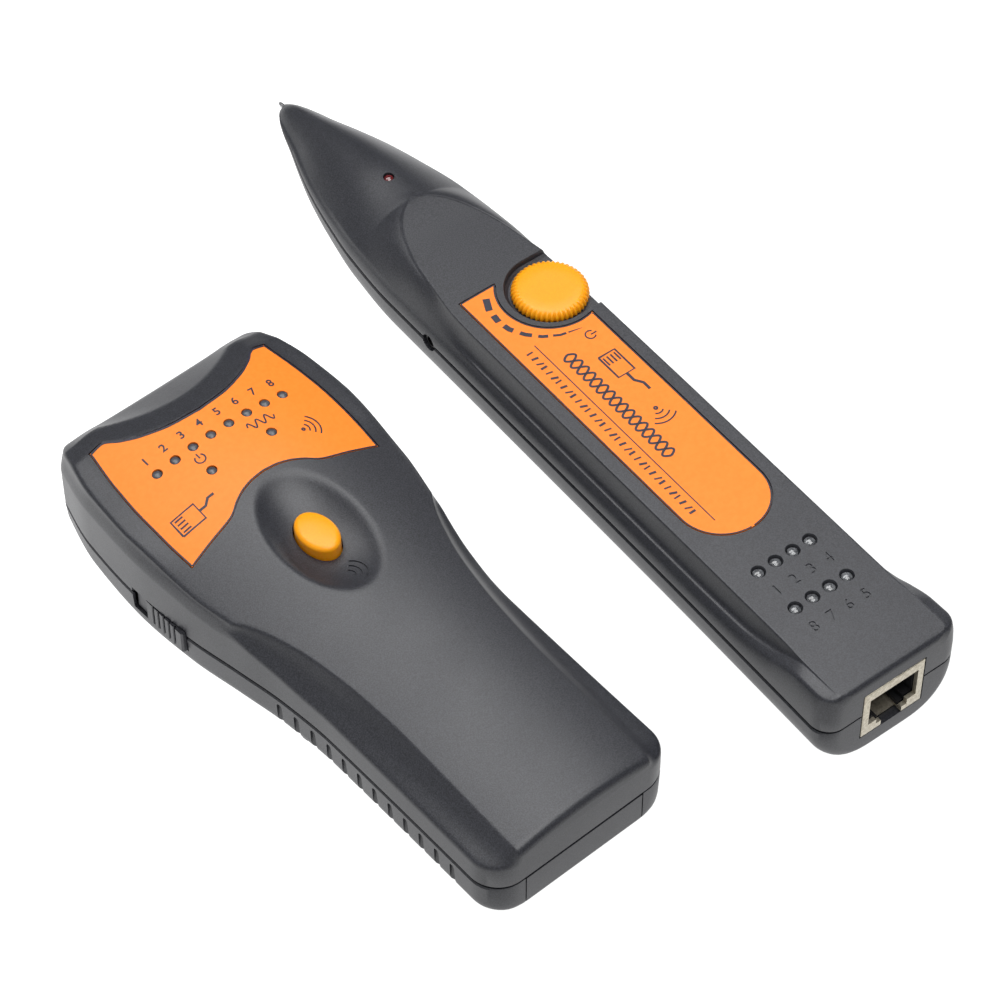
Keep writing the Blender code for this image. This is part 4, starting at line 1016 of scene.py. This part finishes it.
def wheel_pocket():
    """The round pocket under the wheel, open to the right, with a rounded brim."""
    x, y = WHEEL_POCKET_AT
    rings = []
    for grow, z in ((-0.8, WHEEL_FLOOR), (-0.1, 22.7), (0.0, 23.5), (0.15, 23.9), (0.5, 24.3), (0.6, 30.0)):
        r = WHEEL_POCKET_R + grow
        outline = [*arc((x, y), r, 90, 270, 65), (19.5, y - r), (19.5, y + r)]
        rings.append([(px, py, z) for px, py in outline])
    return loft(rings)


def make_rx_front():
    bm = section_loft(rx_stations(), rx_front_half)
    front = piece("rx_front_shell", bm, RX, PLASTIC, ("rx_front_cover",))
    inner = [WALL, 20, 30, 60, 109, 112, 135, 138, 150, 165, 178, 190, 200, 207]
    cut(front, RX, section_loft(inner, rx_cavity_half))
    for (x, y), top in zip(RX_SCREWS, (22.8, 22.8, 17.0, 17.0)):
        cut(front, RX, rod((x, y), 2.5, RX_PARTING + GAP, top), operation="UNION")
    cut(front, RX, *[rod(at, BORE, 12, 16.0, 16) for at in RX_SCREWS])
    cut(front, RX, skin(rx_label_grid(GAP), rx_top, *FILM_ROOM))
    cut(front, RX, wheel_pocket())
    cut(front, RX, rod(WHEEL_AT, 3.4, 10, 24, 24))
    lamps = [turned(at, [(1.45, 18), (1.45, 23.55), (1.75, 24.2), (1.75, 30)], 28) for at in RX_LAMPS]
    cut(front, RX, *lamps, turned(NOSE_LAMP, [(1.3, 18), (1.3, 23.9), (1.6, 24.4), (1.6, 30)], 28))
    cut_rx_openings(front)
    marks = []
    for i, (x, y) in enumerate(RX_LAMPS):
        number = i + 1 if i < 4 else 12 - i
        marks.append(digit(str(number), 3.8, (x, y - 6.1), rx_top, -0.25, 1.0))
    cut(front, RX, *marks)


def make_rx_back():
    shell = section_loft(rx_stations(), rx_belly_half)
    back = piece("rx_back_shell", shell, RX, PLASTIC, ("rx_back_cover",))
    inner = [WALL, 20, 50, 90, 130, 150, 165, 178, 190, 200, 207]
    cut(back, RX, section_loft(inner, rx_belly_cavity_half))
    for x, y in RX_SCREWS:
        floor = RX_BELLY(y)
        cut(back, RX, rod((x, y), 3.9, floor + 1.2, RX_PARTING - GAP, 28), operation="UNION")
        cut(back, RX, turned((x, y), [(2.9, floor - 2), (2.9, floor + 6.4)], 28))
        cut(back, RX, rod((x, y), BORE, 0, 15))
    cut_rx_openings(back)
    x0, y0, x1, y1 = RX_DOOR
    cut(back, RX, box((x0 - GAP, y0 - GAP, -1), (x1 + GAP, y1 + GAP, 6)))


def make_rx_battery_cover():
    x0, y0, x1, y1 = RX_DOOR
    panel = section_loft(spread(40, 116, 20), rx_belly_half)
    cover = piece("rx_battery_panel", panel, RX, PLASTIC, ("rx_battery_cover",))
    cut(cover, RX, box((x0, y0, -1), (x1, y1, 2.0)), operation="INTERSECT")
    cut(cover, RX, *[box((-6.0, 56.0 + 1.6 * i, -1), (6.0, 56.7 + 1.6 * i, 0.45)) for i in range(5)])


def make_rx_wheel():
    """The knurled volume wheel: rounded ribs that run out over the rim of its top."""
    lines = [(0.955, 22.5, 0.3), (1.0, 22.8, 1.0), (1.0, 23.2, 1.0), (0.985, 23.8, 1.0), (0.945, 24.3, 0.9)]
    lines += [(0.89, 24.65, 0.6), (0.83, 24.85, 0.2), (0.79, WHEEL_TOP, 0.0), (0.5, WHEEL_TOP - 0.02, 0.0)]
    steps = 8 * WHEEL_KNURLS
    rings = []
    for scale, z, deep in lines:
        ring = []
        for i in range(steps):
            a = 2 * pi * i / steps
            groove = (0.5 - 0.5 * cos(WHEEL_KNURLS * a)) ** 1.6
            r = WHEEL_R * scale - 0.5 * deep * groove
            ring.append((WHEEL_AT[0] + r * cos(a), WHEEL_AT[1] + r * sin(a), z))
        rings.append(ring)
    disc = loft(rings)
    wheel = piece("rx_wheel_knurled", disc, RX, AMBER, ("rx_volume_wheel",), "volume_wheel")
    cut(wheel, RX, rod(WHEEL_AT, 2.6, 16.6, 23.5, 24), operation="UNION")


def make_rx_label():
    film = skin(rx_label_grid(0.0), rx_top, *FILM_DEPTH)
    piece("rx_label_film", film, RX, LABEL, ("rx_label",))
    ink_and_edge_shade = []

    def line(points, width=0.34):
        ink_and_edge_shade.append(stroke(points, width, rx_top, *INK_AND_SHADE_DEPTH))

    # Painted shade: dark lines along the label's sides, round end, bite round the wheel and upper end stand
    # in for the shadow in the gap round it.
    rim = rx_label_grid(-0.14)
    line([row[0] for row in rim], 0.28)
    line([row[-1] for row in rim], 0.28)
    line(rim[-1], 0.28)
    # The volume wedge: bars that get thinner around the wheel, ending in a drawn-out line.
    bend = [(-5.4, 130.0), (-6.9, 126.9), (-7.3, 123.0), (-6.8, 119.9), (-5.0, 116.6), (-2.4, 113.8)]
    reach = along([*bend, (1.0, 111.8), (6.1, 110.6)], 101)
    bars = ((0, 13, 1.6), (19, 27, 1.5), (33, 42, 1.3), (48, 58, 1.05), (63, 71, 0.85), (75, 86, 0.6))
    for first, last, width in bars:
        line(reach[first : last + 1], width)
    line(reach[88:], (0.4, 0.06))
    line([(-5.35, y) for y in spread(51.5, 112.8, 30)], 0.24)
    for i in range(34):
        y = 111.6 - 1.68 * i
        line([(-8.4, y), (-6.8, y - 0.35 * (i % 3))], 0.42 + 0.16 * (i % 2))
    for phase in (0.0, pi):
        turns = [(t, t * 16 * pi + phase) for t in spread(0, 1, 161)]
        line([(-1.4 + 1.5 * sin(a), 106.4 - 35.7 * t) for t, a in turns], 0.55)
    bx, by = 5.6, 95.0
    x0, x1, y0, y1 = bx - 2.2, bx + 2.2, by - 0.5, by + 6.5
    line([(x0, y1), (x1, y1), (x1, y0), (x0, y0), (x0, y1)], 0.5)
    for i in range(4):
        line([(bx - 1.5 + i, by + 5.8), (bx - 1.5 + i, by + 3.4)], 0.42)
    line([(bx, by - 0.6), (bx, by - 3.0), (bx + 1.2, by - 4.8), (bx + 1.2, by - 7.0)], 0.7)
    for r in (1.6, 3.0, 4.4):
        line(arc((4.3, 83.0), r, 228, 312, 13), 0.36)
    line(arc((4.3, 83.0), 0.35, 0, 360, 13), 0.45)
    line(arc((6.3, 107.9), 1.15, 40, 320, 25), 0.34)
    line([(6.4, 107.9), (7.9, 107.9)], 0.34)
    piece("rx_label_print_and_edge_shade", merged(ink_and_edge_shade), RX, PRINT_AND_EDGE_SHADE)


def make_rx_socket():
    half, z = SOCKET_W / 2, RX_SOCKET_Z
    can = box((-half, -0.1, z), (half, SOCKET_DEPTH, z + SOCKET_H), 0.2)
    shield = piece("rx_socket_frame", can, RX, NICKEL, ("rx_socket_shield",))
    cut(shield, RX, box((-half + 0.6, 0.9, z + 0.6), (half - 0.6, SOCKET_DEPTH + 1, z + SOCKET_H - 0.6)))
    for part in mouth_parts(0.0, z + 3.0, PLUG_W + 0.4, PLUG_H + 0.3, -1, 2):
        cut(shield, RX, part)
    low, high = (-half + 0.9, 1.2, z + 0.9), (half - 0.9, SOCKET_DEPTH - 0.5, z + SOCKET_H - 0.9)
    block = box(low, high, 0.15)
    insert = piece("rx_socket_block", block, RX, BLACK, ("rx_socket_insert",))
    for part in mouth_parts(0.0, z + 3.2, PLUG_W, PLUG_H, 0, 12.5):
        cut(insert, RX, part)
    contacts("rx_socket_contacts", RX, 0.0, 1.2, -1, z + 10.8, 8)


def make_rx_probe():
    foot = [(0.3, 189.0), (1.3, 189.3), (1.3, 194.0), (0.55, 194.3)]
    pin = turned_y((0.0, RX_PARTING), [*foot, (0.55, 215.0), (0.45, 215.6), (0.2, 216.0)], 24)
    piece("rx_pin_turned", pin, RX, STEEL, ("rx_probe_pin",))


def make_rx_inside():
    for i, at in enumerate(RX_LAMPS):
        lamp(f"rx_lamp_{i + 1}", RX, at, rx_top(*at) - 0.1, 1.3, CLEAR)
    lamp("rx_nose_lamp", RX, NOSE_LAMP, RX_MIDDLE(NOSE_LAMP[1]) - 0.1, 1.15, RED)
    for i, (x, y) in enumerate(RX_SCREWS):
        screw(f"rx_case_screw_{i + 1}", RX, (x, y), RX_BELLY(y) + 4.2, 11.0 - RX_BELLY(y))
    body = box((-14.6, EAR_SOCKET_Y - 3, 10.9), (-5.5, EAR_SOCKET_Y + 3, 15.0), 0.2)
    jack = piece("rx_ear_jack", body, RX, BLACK, ("rx_ear_socket",))
    cut(jack, RX, ear_rod(1.8, -16.6, -14.0), operation="UNION")
    cut(jack, RX, ear_rod(1.25, -20, -7.0))


def dress_frame_nodes():
    """Better materials on the inner nodes that keep their shape."""
    looks = {
        "tx_circuit_board": BOARD, "rx_lamp_board": BOARD, "rx_main_board": BOARD, "tx_battery_snap": BLACK,
        "rx_battery_snap": BLACK, "tx_slide_switch": STEEL, "tx_tact_switch": BLACK,
        "rx_volume_control": STEEL, "rx_speaker": SPEAKER,
    }
    for node, look in looks.items():
        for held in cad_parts[node].material_slots:
            held.material = look[0]


# ---------------- floor, light and camera


def lit_paper():
    """White paper lit through from below, brighter towards the back left and dark far away."""
    made, tree, shader = nodes_of("paper_floor", Roughness=0.9, Emission_Color=(1.0, 1.0, 1.0, 1.0))
    tone = ramp(tree, noise(tree, 200), [(0.3, srgb(60, 60, 60)), (0.7, srgb(66, 66, 66))])
    tree.links.new(tone, shader.inputs["Base Color"])
    here = tree.nodes.new("ShaderNodeTexCoord").outputs["Object"]
    turned_to = tree.nodes.new("ShaderNodeMapping")
    turned_to.inputs["Rotation"].default_value = (0.0, 0.0, radians(-120))
    tree.links.new(here, turned_to.inputs["Vector"])
    across = tree.nodes.new("ShaderNodeSeparateXYZ")
    tree.links.new(turned_to.outputs["Vector"], across.inputs["Vector"])
    reach = tree.nodes.new("ShaderNodeVectorMath")
    reach.operation = "LENGTH"
    tree.links.new(here, reach.inputs[0])
    strength = tree.nodes.new("ShaderNodeMath")
    strength.operation = "MULTIPLY"
    glow = ranged(tree, across.outputs["X"], (1.02, 1.8), (-0.05, 0.2))
    fade = ranged(tree, reach.outputs["Value"], (1.0, 0.06), (0.24, 0.34))
    tree.links.new(glow, strength.inputs[0])
    tree.links.new(fade, strength.inputs[1])
    tree.links.new(strength.outputs["Value"], shader.inputs["Emission Strength"])
    return made


def make_stage():
    """The floor, the room's glow, which is brightest at the left, and three lights."""
    grid = bmesh.new()
    bmesh.ops.create_grid(grid, x_segments=2, y_segments=2, size=3.0)
    floor = linked("floor", to_mesh(grid, Matrix()))
    floor.location.z = -0.0002
    floor.data.materials.append(lit_paper())

    world = bpy.data.worlds.new("studio")
    world.use_nodes = True
    tree = world.node_tree
    background = tree.nodes["Background"]
    background.inputs["Color"].default_value = (1.0, 1.0, 1.0, 1.0)
    direction = tree.nodes.new("ShaderNodeTexCoord")
    parts = tree.nodes.new("ShaderNodeSeparateXYZ")
    tree.links.new(direction.outputs["Generated"], parts.inputs["Vector"])
    glow = ranged(tree, parts.outputs["X"], (0.42, 0.06), (-1.0, 0.6))
    tree.links.new(glow, background.inputs["Strength"])
    bpy.context.scene.world = world

    def area(name, place, size, power):
        light = bpy.data.lights.new(name, "AREA")
        light.shape = "RECTANGLE"
        light.size, light.size_y = size
        light.energy = power
        holder = linked(name, light)
        holder.location = place
        holder.rotation_euler = (-Vector(place)).to_track_quat("-Z", "Y").to_euler()

    area("overhead", (0.16, 0.52, 1.2), (1.3, 0.6), 10.5)
    area("crown", (0.1, -0.3, 1.2), (1.0, 0.9), 13.5)
    area("strip", (1.08, 0.5, 0.2), (0.4, 0.2), 0.8)


def make_camera():
    lens = bpy.data.cameras.new("camera")
    lens.sensor_width = 36.0
    lens.lens = 140.4
    lens.clip_start = 0.05
    camera = linked("camera", lens)
    place, target = Vector((-0.33233, -0.41246, 0.66058)), Vector((0.01719, -0.00753, 0.0))
    camera.location = place
    camera.rotation_euler = (target - place).to_track_quat("-Z", "Y").to_euler()
    bpy.context.scene.camera = camera
    bpy.context.scene.view_settings.view_transform = "Standard"


make_camera()
make_stage()
make_tx_front()
make_tx_back()
make_tx_door()
make_tx_button()
make_tx_knob()
make_tx_label()
make_tx_inside()
battery("tx_battery", TX, (-12.5, -113.0, 2.3))
make_rx_front()
make_rx_back()
make_rx_battery_cover()
make_rx_wheel()
make_rx_label()
make_rx_socket()
make_rx_probe()
make_rx_inside()
battery("rx_battery", RX, (-12.5, 52.5, 4.2))
dress_frame_nodes()
